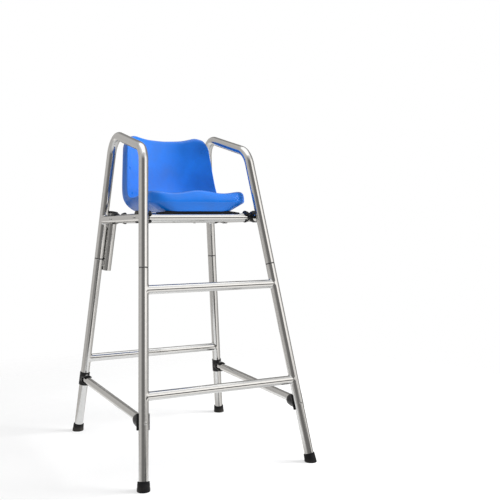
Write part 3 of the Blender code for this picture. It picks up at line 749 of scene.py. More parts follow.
def scaled(colour, factor):
    """Colour made lighter or darker."""
    return tuple(min(1.0, part * factor) for part in colour)


def steel_finish(name, colour, groups, dull=0.0):
    """Polished steel: lines and waves follow the tube by its own map."""
    finish, layout, shader = new_finish(name)
    place = layout.add("ShaderNodeUVMap", uv_map="surface").outputs["UV"]
    marks = group_node(layout, groups["polish"], place)
    spot = layout.span(marks["Spots"], 0.35, 0.75, 0.0, 1.0)
    layout.link(layout.blend(spot, scaled(colour, 1.03), scaled(colour, 0.94)), shader["Base Color"])
    line = layout.span(marks["Lines"], 0.3, 0.7, 0.08 + dull, 0.15 + dull)
    layout.link(layout.math("ADD", line, layout.math("MULTIPLY", spot, 0.015)), shader["Roughness"])
    shader["Metallic"].default_value = 1.0
    height = layout.math("ADD", layout.math("MULTIPLY", marks["Lines"], 0.03), marks["Waves"])
    bump(layout, shader, height, strength=0.08, distance=0.0012)
    return finish


def moulded_finish(name, colour, groups, gloss, sheen, worn, grain, dusty=0.0):
    """Moulded plastic or rubber: grain, blotches, use marks and dust that settles near the floor."""
    finish, layout, shader = new_finish(name)
    place = layout.add("ShaderNodeTexCoord").outputs["Object"]
    surface = group_node(layout, groups["speckle"], place, Grain_Scale=grain)
    marks = group_node(layout, groups["scuff"], place)["Marks"]
    blotch = layout.span(surface["Blotch"], 0.35, 0.65, 0.0, 1.0)
    shade = layout.blend(blotch, scaled(colour, 0.93), scaled(colour, 1.08))
    shade = layout.blend(layout.math("MULTIPLY", marks, worn), shade, scaled(colour, 1.0 + 2.2 * worn))
    if dusty:
        height = layout.add("ShaderNodeSeparateXYZ")
        layout.link(place, height.inputs["Vector"])
        low = layout.span(height.outputs["Z"], 0.0, 0.03, dusty, 0.0)
        low = layout.math("MULTIPLY", low, blotch)
        shade = layout.blend(low, shade, (0.16, 0.15, 0.13))
    layout.link(shade, shader["Base Color"])
    rough = layout.span(surface["Blotch"], 0.3, 0.7, gloss - 0.05, gloss + 0.06)
    layout.link(layout.math("ADD", rough, layout.math("MULTIPLY", marks, 0.36 * worn)), shader["Roughness"])
    shader["Specular IOR Level"].default_value = sheen
    bump(layout, shader, surface["Grain"], strength=0.015, distance=0.0004)
    return finish


def make_finishes():
    """All finishes of the chair, by their use."""
    if "chair_blue" in bpy.data.materials:
        return {use: bpy.data.materials[f"chair_{use}"] for use in SLOTS}
    colours = bpy.context.scene.finish_colours
    groups = {"speckle": speckle_group(), "scuff": scuff_group(), "polish": polish_group()}
    dull = {"steel": 0.0, "weld": 0.16, "joint": 0.25, "bolt": 0.08}
    surfaces = {
        "black": {"gloss": 0.40, "sheen": 0.30, "worn": 0.5, "grain": 1100.0},
        "rubber": {"gloss": 0.55, "sheen": 0.22, "worn": 0.6, "grain": 800.0, "dusty": 0.35},
        "blue": {"gloss": 0.32, "sheen": 0.75, "worn": 0.04, "grain": 650.0},
    }
    made = {}
    for use in SLOTS:
        name, colour = f"chair_{use}", tuple(getattr(colours, use))
        if use in dull:
            made[use] = steel_finish(name, colour, groups, dull[use])
        else:
            made[use] = moulded_finish(name, colour, groups, **surfaces[use])
    return made


class CHAIR_OT_hoops(Operator):
    """Bend the two side hoops: rear leg top, armrest and front leg top in one tube"""
    bl_idname = "chair.hoops"
    bl_label = "Side hoops"

    def execute(self, context):
        s = chair()
        half = s.joint_ring / 2 + s.gap
        for side_name, side in SIDES:
            corners = [
                leg_point(side, False, s.joint_z) + leg_axis(side, False) * half,
                leg_point(side, False, s.arm_rear_z),
                leg_point(side, True, s.arm_front_z),
                leg_point(side, True, s.joint_z) + leg_axis(side, True) * half,
            ]
            flat = unit(np.cross(corners[2] - corners[1], corners[3] - corners[2]))
            shell = tube(rounded_path(corners, s.arm_bend), s.leg_d / 2, flat, s.sides)
            add_shells(f"side_hoop_{side_name}", [shell], "steel", f"hoop_{side_name}")
        return {"FINISHED"}


class CHAIR_OT_legs(Operator):
    """Make the four lower legs, their joint rings and their rubber feet"""
    bl_idname = "chair.legs"
    bl_label = "Legs and feet"

    def execute(self, context):
        s = chair()
        for side_name, side in SIDES:
            for end_name, front in ENDS:
                place = f"{end_name}_{side_name}"
                up = leg_axis(side, front)
                ground = leg_point(side, front, 0.0)
                joint = leg_point(side, front, s.joint_z)
                start = ground + up * (fitting().foot_floor + s.gap)
                end = joint - up * (s.joint_ring / 2 + s.gap)
                shell = straight_tube(start, end, s.leg_d)
                add_shells(f"lower_leg_{place}", [shell], "steel", f"{end_name}_leg_{side_name}")
                self.make_joint(place, joint, up)
                self.make_foot(place, ground, up)
        return {"FINISHED"}

    def make_joint(self, place, joint, up):
        """Turned ring between two tubes, with a sleeve that reaches into both."""
        s = chair()
        sleeve = s.leg_d / 2 - s.wall - s.gap
        sleeve_wall = 0.003
        reach = 0.05
        half = s.joint_ring / 2
        sunk = 0.0005
        face = s.leg_d / 2 - sunk
        bevel = 0.0006
        outline = [
            (sleeve - sleeve_wall, reach), (sleeve, reach), (sleeve, half), (face - bevel, half),
            (face, half - bevel), (face, bevel - half), (face - bevel, -half), (sleeve, -half),
            (sleeve, -reach), (sleeve - sleeve_wall, -reach),
        ]
        shell = revolve(outline, joint, up, s.sides, loop=True)
        add_shells(f"joint_ring_{place}", [shell], "joint", f"leg_joint_{place}")

    def make_foot(self, place, ground, up):
        """Turned rubber cup, cut level at the floor by sliding low points up the leg's axis to z = 0."""
        s, f = chair(), fitting()
        bore = s.leg_d / 2 + s.gap
        top = bore + f.foot_wall
        base = top + f.foot_flare
        high = f.foot_height
        below = -0.021
        outline = [
            (0.0, f.foot_floor), (bore, f.foot_floor),
            # Rounded rim
            (bore, high - 0.0012), (bore + 0.0010, high), (top - 0.0022, high), (top - 0.0008, high - 0.0006),
            # Groove under the rim
            (top, high - 0.0026), (top + 0.0002, high - 0.0065), (top - 0.0007, high - 0.0074),
            (top - 0.0006, high - 0.0082), (top + 0.0004, high - 0.0091),
            # Flared base
            (top + 0.0008, 0.0150), (base - 0.0004, 0.0115), (base, 0.0090), (base, 0.0020),
            (base, -0.020), (base - 0.0012, below), (base * 0.6, below), (0.0, below),
        ]
        points, faces, maps = revolve(outline, ground, up, s.sides)
        low = np.minimum(points[:, 2], 0.0)
        points = points - low[:, None] / up[2] * up
        add_shells(f"rubber_foot_{place}", [(points, faces, maps)], "rubber", f"foot_{place}", sharp=50.0)


class CHAIR_OT_rungs(Operator):
    """Make the rungs and side rails, coped to the legs, with their ground welds"""
    bl_idname = "chair.rungs"
    bl_label = "Rungs and rails"

    def execute(self, context):
        s = chair()
        rungs = (
            ("front_rung_upper", True, s.rung_upper_z),
            ("front_rung_lower", True, s.rung_lower_z),
            ("rear_rung", False, s.rear_rung_z),
        )
        for node, front, height in rungs:
            ends = leg_point(-1, front, height), leg_point(1, front, height)
            self.make_tube(node, ends, (leg_axis(-1, front), leg_axis(1, front)))
        for side_name, side in SIDES:
            axes = leg_axis(side, True), leg_axis(side, False)
            self.make_tube(f"side_rail_{side_name}", rail_ends(side), axes)
        return {"FINISHED"}

    def make_tube(self, node, ends, axes):
        """One coped tube and the ground weld at each of its ends."""
        s = chair()
        start, end = ends
        run = unit(end - start)
        add_shells(f"{node}_tube", [coped_tube(start, end, s.bar_d, *axes)], "steel", node)
        welds = [
            weld_fillet(start, run, s.bar_d / 2, axes[0]),
            weld_fillet(end, -run, s.bar_d / 2, axes[1]),
        ]
        add_shells(f"{node}_welds", welds, "steel")


class CHAIR_OT_bars(Operator):
    """Make the seat cross bars and the lower side braces"""
    bl_idname = "chair.bars"
    bl_label = "Cross bars and braces"

    def execute(self, context):
        s, f = chair(), fitting()
        for end_name, front in ENDS:
            shell = straight_tube(bar_end(-1, front), bar_end(1, front), s.bar_d)
            add_shells(f"cross_bar_{end_name}", [shell], "steel", f"seat_bar_{end_name}")
        for side_name, side in SIDES:
            rear, front_leg, run = brace_line(side)
            start = rear + run * brace_face(f.collar_wall)
            end = front_leg - run * brace_face(f.bracket_wall)
            shell = straight_tube(start, end, s.brace_d)
            add_shells(f"side_brace_{side_name}", [shell], "steel", f"brace_{side_name}")
        return {"FINISHED"}


class CHAIR_OT_connectors(Operator):
    """Mould the four flared connectors between the cross bars and the side rails"""
    bl_idname = "chair.connectors"
    bl_label = "Bar connectors"

    def execute(self, context):
        s, f = chair(), fitting()
        bore = s.bar_d / 2 + s.gap
        full = bore + f.connector_wall
        stop = bar_end(1, True)
        mouth = stop - RIGHT * f.cup
        body = revolve(self.outline(full), mouth + UP * f.lift, RIGHT)
        slot_low = (-f.cup, -full * 2, -f.jaw_opening / 2)
        slot_high = (f.cup * 0.6, full * 2, f.jaw_opening / 2)
        cutters = [
            rod(mouth - RIGHT * f.cup, stop + RIGHT * s.gap, bore),
            rod(*rail_ends(1), bore),
            block(slot_low, slot_high, mouth),
        ]
        mesh = moulded("bar_connector", [body], cutters)
        for end_name, front in ENDS:
            right = moved(mesh, f"connector_{end_name}_right", bar_end(1, front) - stop)
            left_name = f"connector_{end_name}_left"
            add_pair(right, left_name, f"flared_connector_{end_name}", f"bar_connector_{end_name}")
        return {"FINISHED"}

    def outline(self, full):
        """Profile from the cup to the lip; the neck's radius is waist + (shoulder - waist) |t|^1.8."""
        f = fitting()
        shoulder = full - f.connector_wall * 0.65
        neck_end = f.cup + f.neck
        length = neck_end + f.lip
        turn = np.linspace(-1.0, 1.0, 13)
        neck = np.column_stack([
            f.waist + (shoulder - f.waist) * np.abs(turn) ** 1.8, f.cup + f.neck * (turn + 1.0) / 2])
        return np.concatenate([
            [(0.0, 0.0), (full, 0.0), (full, f.cup * 0.33)], neck,
            [(full, neck_end + f.lip * 0.4), (full, length), (0.0, length)]])


class CHAIR_OT_collars(Operator):
    """Mould the rear collars with their jaws"""
    bl_idname = "chair.collars"
    bl_label = "Rear collars"

    def execute(self, context):
        s, f = chair(), fitting()
        axis_point, _, run = brace_line(1)
        up = leg_axis(1, False)
        sleeve_r = s.leg_d / 2 + s.gap + f.collar_wall
        half = f.collar_height / 2
        face = brace_face(f.collar_wall)
        jaw_r = s.brace_d / 2 + s.gap + f.jaw_wall
        lip_r = jaw_r + f.jaw_wall / 2
        reach = face + f.jaw_reach
        branch = [
            (0.0, 0.0), (jaw_r, 0.0), (jaw_r, face),
            (lip_r, reach - f.jaw_wall), (lip_r, reach), (0.0, reach),
        ]
        stop = axis_point + run * face
        seat = axis_point + run * (face + f.jaw_reach * PIN_SHARE)
        seat = seat + UP * (s.brace_d / 2 + s.gap + f.jaw_wall * PIN_SEAT)
        slot_low = (-CUT_WIDE, -CUT_WIDE, -f.jaw_opening / 2)
        slot_high = (CUT_WIDE, -f.jaw_wall, f.jaw_opening / 2)
        cutters = [
            rod(axis_point - up * half * 2, axis_point + up * half * 2, s.leg_d / 2 + s.gap),
            rod(stop - run * s.gap, stop + run * f.jaw_reach * 2, s.brace_d / 2 + s.gap),
            block(slot_low, slot_high, stop),
            rod(seat, seat + UP * f.head_d, f.head_d / 2 + f.jaw_wall / 4),
        ]
        solids = [
            revolve(drum(sleeve_r, half, 0.001), axis_point, up),
            revolve(branch, axis_point, run),
        ]
        add_pair(moulded("collar_right", solids, cutters), "collar_left", "jaw_collar", "rear_collar")
        return {"FINISHED"}


class CHAIR_OT_brackets(Operator):
    """Mould the front brackets: half sleeves with a round socket"""
    bl_idname = "chair.brackets"
    bl_label = "Front brackets"

    def execute(self, context):
        s, f = chair(), fitting()
        _, axis_point, run = brace_line(1)
        up = leg_axis(1, True)
        shell_r = s.leg_d / 2 + s.gap + f.bracket_wall
        half = f.bracket_height / 2
        face = brace_face(f.bracket_wall)
        stop = axis_point - run * face
        # The block before a plane along the leg, a little behind its axis
        back = axis_point + np.array([0.0, f.bracket_setback, 0.0])
        backward = unit(np.array([0.0, 1.0, -s.front_lean]))
        front_low = (-CUT_WIDE, -2 * CUT_WIDE, -CUT_REACH)
        front_high = (CUT_WIDE, 0.0, CUT_REACH)
        cutters = [
            block(front_low, front_high, back, np.stack([RIGHT, backward, up])),
            rod(axis_point - up * CUT_REACH, axis_point + up * CUT_REACH, s.leg_d / 2 + s.gap),
            rod(stop + run * s.gap, stop - run * f.socket_depth * 2, s.brace_d / 2 + s.gap),
        ]
        solids = [
            revolve(drum(shell_r, half, 0.0015), axis_point, up),
            revolve(self.socket(face), axis_point - UP * f.socket_drop, -run),
        ]
        add_pair(moulded("bracket_right", solids, cutters), "bracket_left", "half_bracket", "front_bracket")
        return {"FINISHED"}

    def socket(self, face):
        """Profile of the socket; its radius is mouth + flare (1 - t^2.2) from the leg to the mouth."""
        s, f = chair(), fitting()
        mouth = s.brace_d / 2 + s.gap + f.socket_wall
        reach = face + f.socket_depth
        share = np.linspace(0.0, 1.0, 12)
        dome = np.column_stack([mouth + f.socket_flare * (1.0 - share ** 2.2), face + f.socket_depth * share])
        return np.concatenate([[(0.0, 0.0), (mouth + f.socket_flare, 0.0)], dome, [(0.0, reach)]])


class CHAIR_OT_seat(Operator):
    """Mould the seat and lay its rubber pads on the cross bars"""
    bl_idname = "chair.seat"
    bl_label = "Seat and pads"

    def execute(self, context):
        seat = add_shells("moulded_seat", [self.cage(seating())], "blue", "seat", sharp=180.0)
        smooth = seat.modifiers.new("smooth", "SUBSURF")
        smooth.levels = 2
        smooth.render_levels = 2
        for end_name, front in ENDS:
            name, node = f"rubber_pad_{end_name}", f"seat_pad_{end_name}"
            add_shells(name, [self.pad(front)], "rubber", node, sharp=50.0)
        return {"FINISHED"}

    @staticmethod
    def half_width():
        """Seat's half width at the back's top, which is tied to the arms, and at the lip."""
        s, seat = chair(), seating()
        top = s.foot_half_width - s.side_lean * s.arm_rear_z - s.leg_d / 2 - seat.arm_space
        return top, top / (1.0 - seat.back_taper)

    def sections(self, seat, share):
        """Outline of the seat (y, height) at shares of its half width, from under the lip round to the back.

        The lip waves with the cosine of the share, the pan rises with its cube to the rim, the back hollows
        with its square, the front corners set back with its eighth power, and the back's top follows a table.
        """
        lip = seat.lip_height + seat.lip_wave * (np.cos(math.tau * share) - 2.0 * share ** 12)
        pan = seat.pan_height + (seat.rim_height - seat.pan_height) * share ** 3
        ears = ((0.0, 0.40, 0.60, 0.74, 0.86, 0.94, 1.0), (0.0, 0.2, 0.6, 1.0, 0.75, 0.3, -1.5))
        top = seat.back_height + seat.ear * np.interp(share, *ears)
        hollow = seat.hollow * share ** 2
        heel = bar_front_y() - seat.overhang + seat.depth
        front = heel - seat.depth + seat.corner * share ** 8
        rise = top - pan
        zero = np.zeros_like(share)

        def face(part, lift=0.0):
            """Back's face at a part of its rise."""
            return heel + seat.recline * rise * part - hollow + lift, pan + rise * part

        def shell(part, height):
            """Back's rear side, a little steeper than its face."""
            lean = seat.recline * rise * part * 0.78
            return heel + lean + seat.back_thick * 1.4 - seat.rear_hollow * share ** 2, pan + rise * height

        def flat(along):
            """Underside at a distance behind the front."""
            return front + along, zero

        def under(part):
            """Underside at a part of the depth."""
            return heel - seat.depth * part + zero, zero

        crease, thick = seat.under_height, seat.back_thick
        places = [
            # Skirt and lip
            (front + 0.0135, zero - 0.003),
            (front + 0.0092, crease * 0.40 + zero),
            (front + 0.0020, crease * 0.96 + zero),
            (front + 0.0002, crease * 1.04 + zero),
            (front + 0.0030, crease + (lip - crease) * 0.55),
            (front + 0.010, lip),
            (front + 0.040, lip + 0.001),
            # Pan
            (front + 0.095, lip * 0.55 + pan * 0.45),
            (heel - seat.depth * 0.48 + zero, pan),
            (heel - seat.depth * 0.24 + zero, pan),
            (heel - 0.032 - hollow * 0.8, pan + 0.006),
            # Back, up its face and down its rear side
            face(0.10, -0.006), face(0.28), face(0.52), face(0.76), face(0.94),
            (face(1.0)[0] + 0.006, top),
            (shell(1.0, 1.0)[0] - 0.004, top - 0.002),
            shell(0.93, 0.92), shell(0.72, 0.70), shell(0.46, 0.44), shell(0.20, 0.18),
            (shell(0.0, 0.0)[0] - 0.008, pan * 0.9),
            # Underside
            (heel + thick * 0.6 + zero, pan * 0.32),
            (heel - thick * 0.1 + zero, zero),
            under(0.30), under(0.56),
            flat(0.066), flat(0.052), flat(0.042), flat(0.036), flat(0.032), flat(0.028),
            (front + 0.0165, zero - 0.003),
        ]
        return np.stack([y for y, _ in places], axis=1), np.stack([h for _, h in places], axis=1)

    def cage(self, seat):
        """Lofted sections across the seat, closed at both sides by quads between facing points."""
        s = chair()
        share = np.array([
            0.0, 0.11, 0.22, 0.32, 0.42, 0.51, 0.60, 0.68, 0.76, 0.82, 0.88, 0.92, 0.95, 0.98, 1.0])
        along, height = self.sections(seat, share)
        top_half, half = self.half_width()
        front = bar_front_y() - seat.overhang
        depth = np.minimum(1.0, (along - front) / seat.depth)
        under = seat.under_taper * np.maximum(0.0, 1.0 - height / seat.under_height)
        climb = np.maximum(0.0, height - seat.lip_height) / (seat.back_height - seat.lip_height)
        width = (half + seat.rear_spread * depth) * (1.0 - under) * (1.0 - climb) + top_half * climb
        base = s.rail_z + s.bar_d / 2 + seat.pad_thickness
        level = base - s.rail_fall * (along - bar_front_y()) + height
        right = np.stack([share[:, None] * width, along, level], axis=-1)
        left = right[:0:-1] * np.array([-1.0, 1.0, 1.0])
        grid = np.concatenate([left, right])
        points, faces, maps = skin(grid)
        rows, columns = grid.shape[:2]
        low = np.arange(columns // 2 - 1)
        side = np.stack([low, low + 1, columns - 2 - low, columns - 1 - low], axis=-1)
        caps = np.concatenate([side, side + (rows - 1) * columns])
        cap_maps = points[caps][:, :, 1:]
        return points, np.concatenate([faces, caps]), np.concatenate([maps, cap_maps])

    def pad(self, front):
        """Pad: flat top with soft edges, hollow of the bar's radius below, carried along the bar.

        Toward both ends its upper half comes down to the hollow by the shares in a table.
        """
        s, seat = chair(), seating()
        along = bar_y(front)
        axis_z = rail_point(1, along)[2]
        half = self.half_width()[1] * seat.pad_share
        top = s.bar_d / 2 + seat.pad_thickness - s.gap
        edge = 0.0016
        y = np.linspace(-1.0, 1.0, 25) * seat.pad_width / 2
        upper = top - edge * np.abs(2 * y / seat.pad_width) ** 10 - s.rail_fall * y
        lower = np.sqrt((s.bar_d / 2 + s.gap) ** 2 - y ** 2)
        loop = np.concatenate([np.stack([y, upper], axis=1), np.stack([y, lower], axis=1)[::-1]])
        middle = loop.mean(axis=0)
        thin_at, thin_by = (0.72, 0.9, 1.0), (0.0, 0.35, 0.65)
        right_half = [(place, 1.0) for place in thin_at] + [(1.0, 0.0)]
        left_half = [(-place, size) for place, size in reversed(right_half)]
        rows = []
        for place, size in left_half + right_half:
            section = middle + (loop - middle) * size
            thin = np.interp(abs(place), thin_at, thin_by) * (section[:, 1] - lower.min())
            section = section - thin[:, None] * np.array([0.0, 1.0]) * (section[:, 1:] > middle[1])
            rows.append(np.column_stack([np.full(len(loop), place * half), section]))
        return skin(np.stack(rows) + np.array([0.0, along, axis_z]))


class CHAIR_OT_pole_tube(Operator):
    """Make the umbrella pole tube, its top bush and its stitch welds"""
    bl_idname = "chair.pole_tube"
    bl_label = "Umbrella pole tube"

    def execute(self, context):
        s = chair()
        up = leg_axis(-1, False)
        inward = unit(RIGHT - up * (up @ RIGHT))
        offset = inward * (s.leg_d / 2 + s.pole_d / 2 + s.gap)
        bottom = leg_point(-1, False, s.pole_bottom_z) + offset
        top = leg_point(-1, False, s.pole_top_z) + offset
        add_shells("umbrella_tube", [straight_tube(bottom, top, s.pole_d)], "steel", "pole_tube")
        self.make_bush(top, up)
        welds = []
        for share in (0.12, 0.80):
            for turn in (-1, 1):
                welds.append(self.stitch(bottom + (top - bottom) * share, up, inward, turn))
        add_shells("umbrella_tube_welds", welds, "weld")
        return {"FINISHED"}

    def make_bush(self, top, up):
        """Turned bush: a rim on the tube's end and a sleeve inside it."""
        s = chair()
        outer, inner = s.pole_d / 2, s.pole_d / 2 - s.wall - s.gap
        rim, depth, wall = 0.006, 0.030, 0.0025
        inner_bevel, outer_bevel = 0.001, 0.0015
        outline = [
            (inner - wall, rim - inner_bevel), (inner - wall + inner_bevel, rim), (outer - outer_bevel, rim),
            (outer, rim - outer_bevel), (outer, s.gap), (inner, s.gap),
            (inner, -depth), (inner - wall, -depth),
        ]
        shell = revolve(outline, top, up, s.sides, loop=True)
        add_shells("umbrella_tube_bush", [shell], "black", "pole_tube_bush")

    def stitch(self, place, up, inward, turn):
        """Short rippled bead in the groove between pole tube and leg; its radius swells as sqrt(1 - t^4)."""
        bead_r, half_length, out = 0.0042, 0.016, 0.0085
        ripple, ripples = 0.08, 24.0
        aside = np.cross(up, inward) * turn
        share = np.linspace(-1.0, 1.0, 41)
        size = bead_r * np.sqrt(np.maximum(0.0, 1.0 - share ** 4)) * (1.0 + ripple * np.cos(share * ripples))
        groove = place - inward * (chair().pole_d / 2) + aside * out
        line = groove + share[:, None] * half_length * up
        angle = np.linspace(0.0, math.tau, 14, endpoint=False)[None, :, None]
        grid = line[:, None] + size[:, None, None] * (np.cos(angle) * inward + np.sin(angle) * aside)
        return skin(grid)


class CHAIR_OT_bolts(Operator):
    """Make the domed bolts of connectors, collars, brackets and seat, and blacken the bars' plugs"""
    bl_idname = "chair.bolts"
    bl_label = "Bolts"

    def execute(self, context):
        s, f, seat = chair(), fitting(), seating()
        seat_x = CHAIR_OT_seat.half_width()[1] * seat.pad_share * seat.bolt_share
        seat_grip = 0.030
        for side_name, side in SIDES:
            for end_name, front in ENDS:
                place = f"{end_name}_{side_name}"
                face = f.neck + s.bar_d + s.gap * 2
                self.make_bolt("connector_bolt", place, bar_end(side, front), RIGHT * side, face,
                               face + f.plug / 2, f.head_h)
                axis_z = rail_point(1, bar_y(front))[2]
                under = np.array([side * seat_x, bar_y(front), axis_z])
                self.make_bolt("seat_bolt", place, under, -UP, s.bar_d / 2 + s.gap,
                               s.bar_d + seat.pad_thickness + seat_grip, f.seat_head_h)
            rear, front_leg, run = brace_line(side)
            face = s.leg_d / 2 + s.gap + f.head_d / 2 * s.front_lean
            self.make_bolt("bracket_bolt", side_name, front_leg, run, face,
                           face + brace_face(f.bracket_wall) + f.plug / 2, f.head_h)
            face = s.brace_d / 2 + s.gap * 2 + f.jaw_wall * PIN_SEAT
            pin = rear + run * (brace_face(f.collar_wall) + f.jaw_reach * PIN_SHARE)
            self.make_bolt("collar_bolt", side_name, pin, UP, face,
                           face + s.brace_d / 2 + f.jaw_wall, f.head_h)
        for name, node in frame["nodes"].items():
            if "_plug_" in name:
                node.data.materials.clear()
                node.data.materials.append(make_finishes()["black"])
        return {"FINISHED"}

    def make_bolt(self, kind, place, origin, axis, face, length, head_h):
        """Bolt: a hexagonal socket in a domed head, a skirt sunk in the tube and a plain shaft.

        The socket's rings take the hexagon's radius a / cos(angle within its sixth), all others a circle.
        """
        f = fitting()
        r, shaft, socket = f.head_d / 2, f.bolt_d / 2, f.head_d * 0.19
        # Heights in the head as parts of it, and the skirt's depth
        floor, brim, rim = 0.45, 0.985, 0.25
        skirt = 0.0022
        sides = 48
        angle = np.linspace(0.0, math.tau, sides, endpoint=False)
        hexagon = socket / np.cos((angle + math.pi / 6) % (math.pi / 3) - math.pi / 6)
        circle = np.ones(sides)
        rows = [(hexagon * 0.0, floor), (hexagon, floor), (hexagon, brim)]
        for bend in np.linspace(0.25, 1.0, 8):
            quarter = bend * math.pi / 2
            rows.append((circle * r * math.sin(quarter), rim + (1.0 - rim) * math.cos(quarter)))
        heights = [height * head_h for _, height in rows] + [-skirt, -skirt, -length, -length]
        radii = [radius for radius, _ in rows] + [circle * r, circle * shaft, circle * shaft, circle * 0.0]
        spokes = ring(axis, sides)
        grid = (origin + axis * face + np.array(heights)[:, None, None] * axis
                + np.stack(radii)[:, :, None] * spokes[None])
        add_shells(f"domed_{kind}_{place}", [skin(grid)], "bolt", f"{kind}_{place}", sharp=40.0)


# Greys that reflections show round the chair, as (degrees to the right of the camera's side, grey)
UPPER_RING = (
    (-180, 0.28), (-166, 0.32), (-152, 0.62), (-130, 0.58), (-104, 0.62), (-88, 0.66), (-74, 0.68),
    (-58, 0.60), (-44, 0.46), (-30, 0.23), (0, 0.20), (32, 0.24), (42, 1.45), (54, 1.50), (66, 1.40),
    (88, 1.20), (100, 0.42), (150, 0.32), (180, 0.28),
)
LOWER_RING = (
    (-180, 0.60), (-158, 1.00), (-132, 1.00), (-112, 0.60), (-8, 0.56), (4, 0.13), (31, 0.13),
    (42, 1.20), (56, 1.20), (70, 0.75), (120, 0.70), (180, 0.60),
)


class CHAIR_OT_stage(Operator):
    """Set the pale floor, the soft light, the white surround and the camera"""
    bl_idname = "chair.stage"
    bl_label = "Stage"

    def execute(self, context):
        self.make_floor(context)
        self.make_world(context)
        self.make_lights(context)
        self.make_camera(context)
        context.scene.view_settings.view_transform = "Standard"
        return {"FINISHED"}

    def make_floor(self, context):
        """Round floor: rings of growing radius.

        The camera sees it fade out round the chair; other rays meet only the part close under the chair.
        """
        radius = np.array([0.0, 0.6, 1.2, 2.4, 5.0, 10.0, 18.0])
        sunk = 0.0004
        mesh = mesh_from("floor", [skin(radius[:, None, None] * ring(UP, 96)[None] - UP * sunk)])
        floor = bpy.data.objects.new("floor", mesh)
        context.scene.collection.objects.link(floor)
        finish, layout, shader = new_finish("pale_floor")
        place = layout.add("ShaderNodeTexCoord").outputs["Object"]
        shade = layout.span(layout.noise(place, 3.0), 0.3, 0.7, 0.0, 1.0)
        layout.link(layout.blend(shade, (0.49, 0.49, 0.49), (0.51, 0.51, 0.51)), shader["Base Color"])
        reach = layout.add("ShaderNodeVectorMath", operation="LENGTH")
        layout.link(place, reach.inputs[0])
        wide = layout.span(reach.outputs["Value"], 1.1, 2.6, 1.0, 0.0)
        below = layout.add("ShaderNodeVectorMath", operation="DISTANCE")
        layout.link(place, below.inputs[0])
        below.inputs[1].default_value = (-0.30, 0.05, 0.0)
        near = layout.span(below.outputs["Value"], 0.48, 0.78, 1.0, 0.0)
        rays = layout.add("ShaderNodeLightPath").outputs
        far = layout.math("MULTIPLY", layout.math("SUBTRACT", wide, near), rays["Is Camera Ray"])
        layout.link(layout.math("ADD", near, far), shader["Alpha"])
        shader["Roughness"].default_value = 0.9
        shader["Specular IOR Level"].default_value = 0.0
        shader["Emission Color"].default_value = (1.0, 1.0, 1.0, 1.0)
        layout.link(layout.math("MULTIPLY", layout.seen(rays), 0.56), shader["Emission Strength"])
        mesh.materials.append(finish)

    def make_world(self, context):
        """White backdrop for the rays that look at it; reflections see a dim room in its place."""
        world = bpy.data.worlds.new("studio")
        context.scene.world = world
        world.use_nodes = True
        world.node_tree.nodes.clear()
        layout = Nodes(world.node_tree)
        rays = layout.add("ShaderNodeLightPath").outputs
        shown = layout.blend(rays["Is Glossy Ray"], (1.0, 1.0, 1.0), self.room(layout))
        backdrop = layout.add("ShaderNodeBackground")
        layout.link(shown, backdrop.inputs["Color"])
        layout.link(layout.math("ADD", rays["Is Glossy Ray"], 1.0), backdrop.inputs["Strength"])
        soft = layout.add("ShaderNodeBackground", Strength=0.36)
        soft.inputs["Color"].default_value = (1.0, 1.0, 1.0, 1.0)
        both = layout.add("ShaderNodeMixShader")
        layout.link(layout.seen(rays), both.inputs[0])
        layout.link(soft.outputs[0], both.inputs[1])
        layout.link(backdrop.outputs[0], both.inputs[2])
        layout.link(both.outputs[0], layout.add("ShaderNodeOutputWorld").inputs["Surface"])

    def room(self, layout):
        """Colour of the room by direction, at half strength.

        It is two rings of greys by the angle from the camera's side, one for level and rising directions and
        one for falling ones, with a dark line along the level at the right front, and one grey each overhead
        and underfoot.
        """
        way = layout.add("ShaderNodeSeparateXYZ")
        layout.link(layout.add("ShaderNodeTexCoord").outputs["Generated"], way.inputs["Vector"])
        x, y, z = (way.outputs[key] for key in "XYZ")
        facing = math.radians(-112.7)
        ahead = layout.math("ADD", layout.math("MULTIPLY", x, math.cos(facing)),
                            layout.math("MULTIPLY", y, math.sin(facing)))
        aside = layout.math("ADD", layout.math("MULTIPLY", x, -math.sin(facing)),
                            layout.math("MULTIPLY", y, math.cos(facing)))
        turn = layout.span(layout.math("ARCTAN2", aside, ahead), -math.pi, math.pi, 0.0, 1.0)
        upper = self.greys(layout, turn, UPPER_RING)
        lower = self.greys(layout, turn, LOWER_RING)
        room = layout.blend(layout.span(z, -0.28, -0.20, 1.0, 0.0), upper, lower)
        # Middle of the dark line, as a part of the whole turn
        line_turn = 0.644
        off_line = layout.math("ABSOLUTE", layout.math("SUBTRACT", turn, line_turn))
        line = layout.span(off_line, 0.04, 0.08, 1.0, 0.0)
        level = layout.span(layout.math("ABSOLUTE", z), 0.11, 0.27, 1.0, 0.0)
        room = layout.blend(layout.math("MULTIPLY", line, level), room, (0.015, 0.015, 0.015))
        room = layout.blend(layout.span(z, 0.60, 0.88, 0.0, 1.0), room, (0.42, 0.42, 0.42))
        return layout.blend(layout.span(z, -0.75, -0.50, 1.0, 0.0), room, (0.40, 0.40, 0.40))

    @staticmethod
    def greys(layout, turn, stops):
        """Ring of slightly warm greys from (degrees, grey) stops, at half strength."""
        node = layout.add("ShaderNodeValToRGB")
        layout.link(turn, node.inputs["Fac"])
        ramp = node.color_ramp
        while len(ramp.elements) < len(stops):
            ramp.elements.new(0.5)
        for element, (angle, grey) in zip(ramp.elements, stops):
            element.position = (angle + 180.0) / 360.0
            element.color = (grey / 2, grey * 0.485, grey * 0.47, 1.0)
        return node.outputs["Color"]

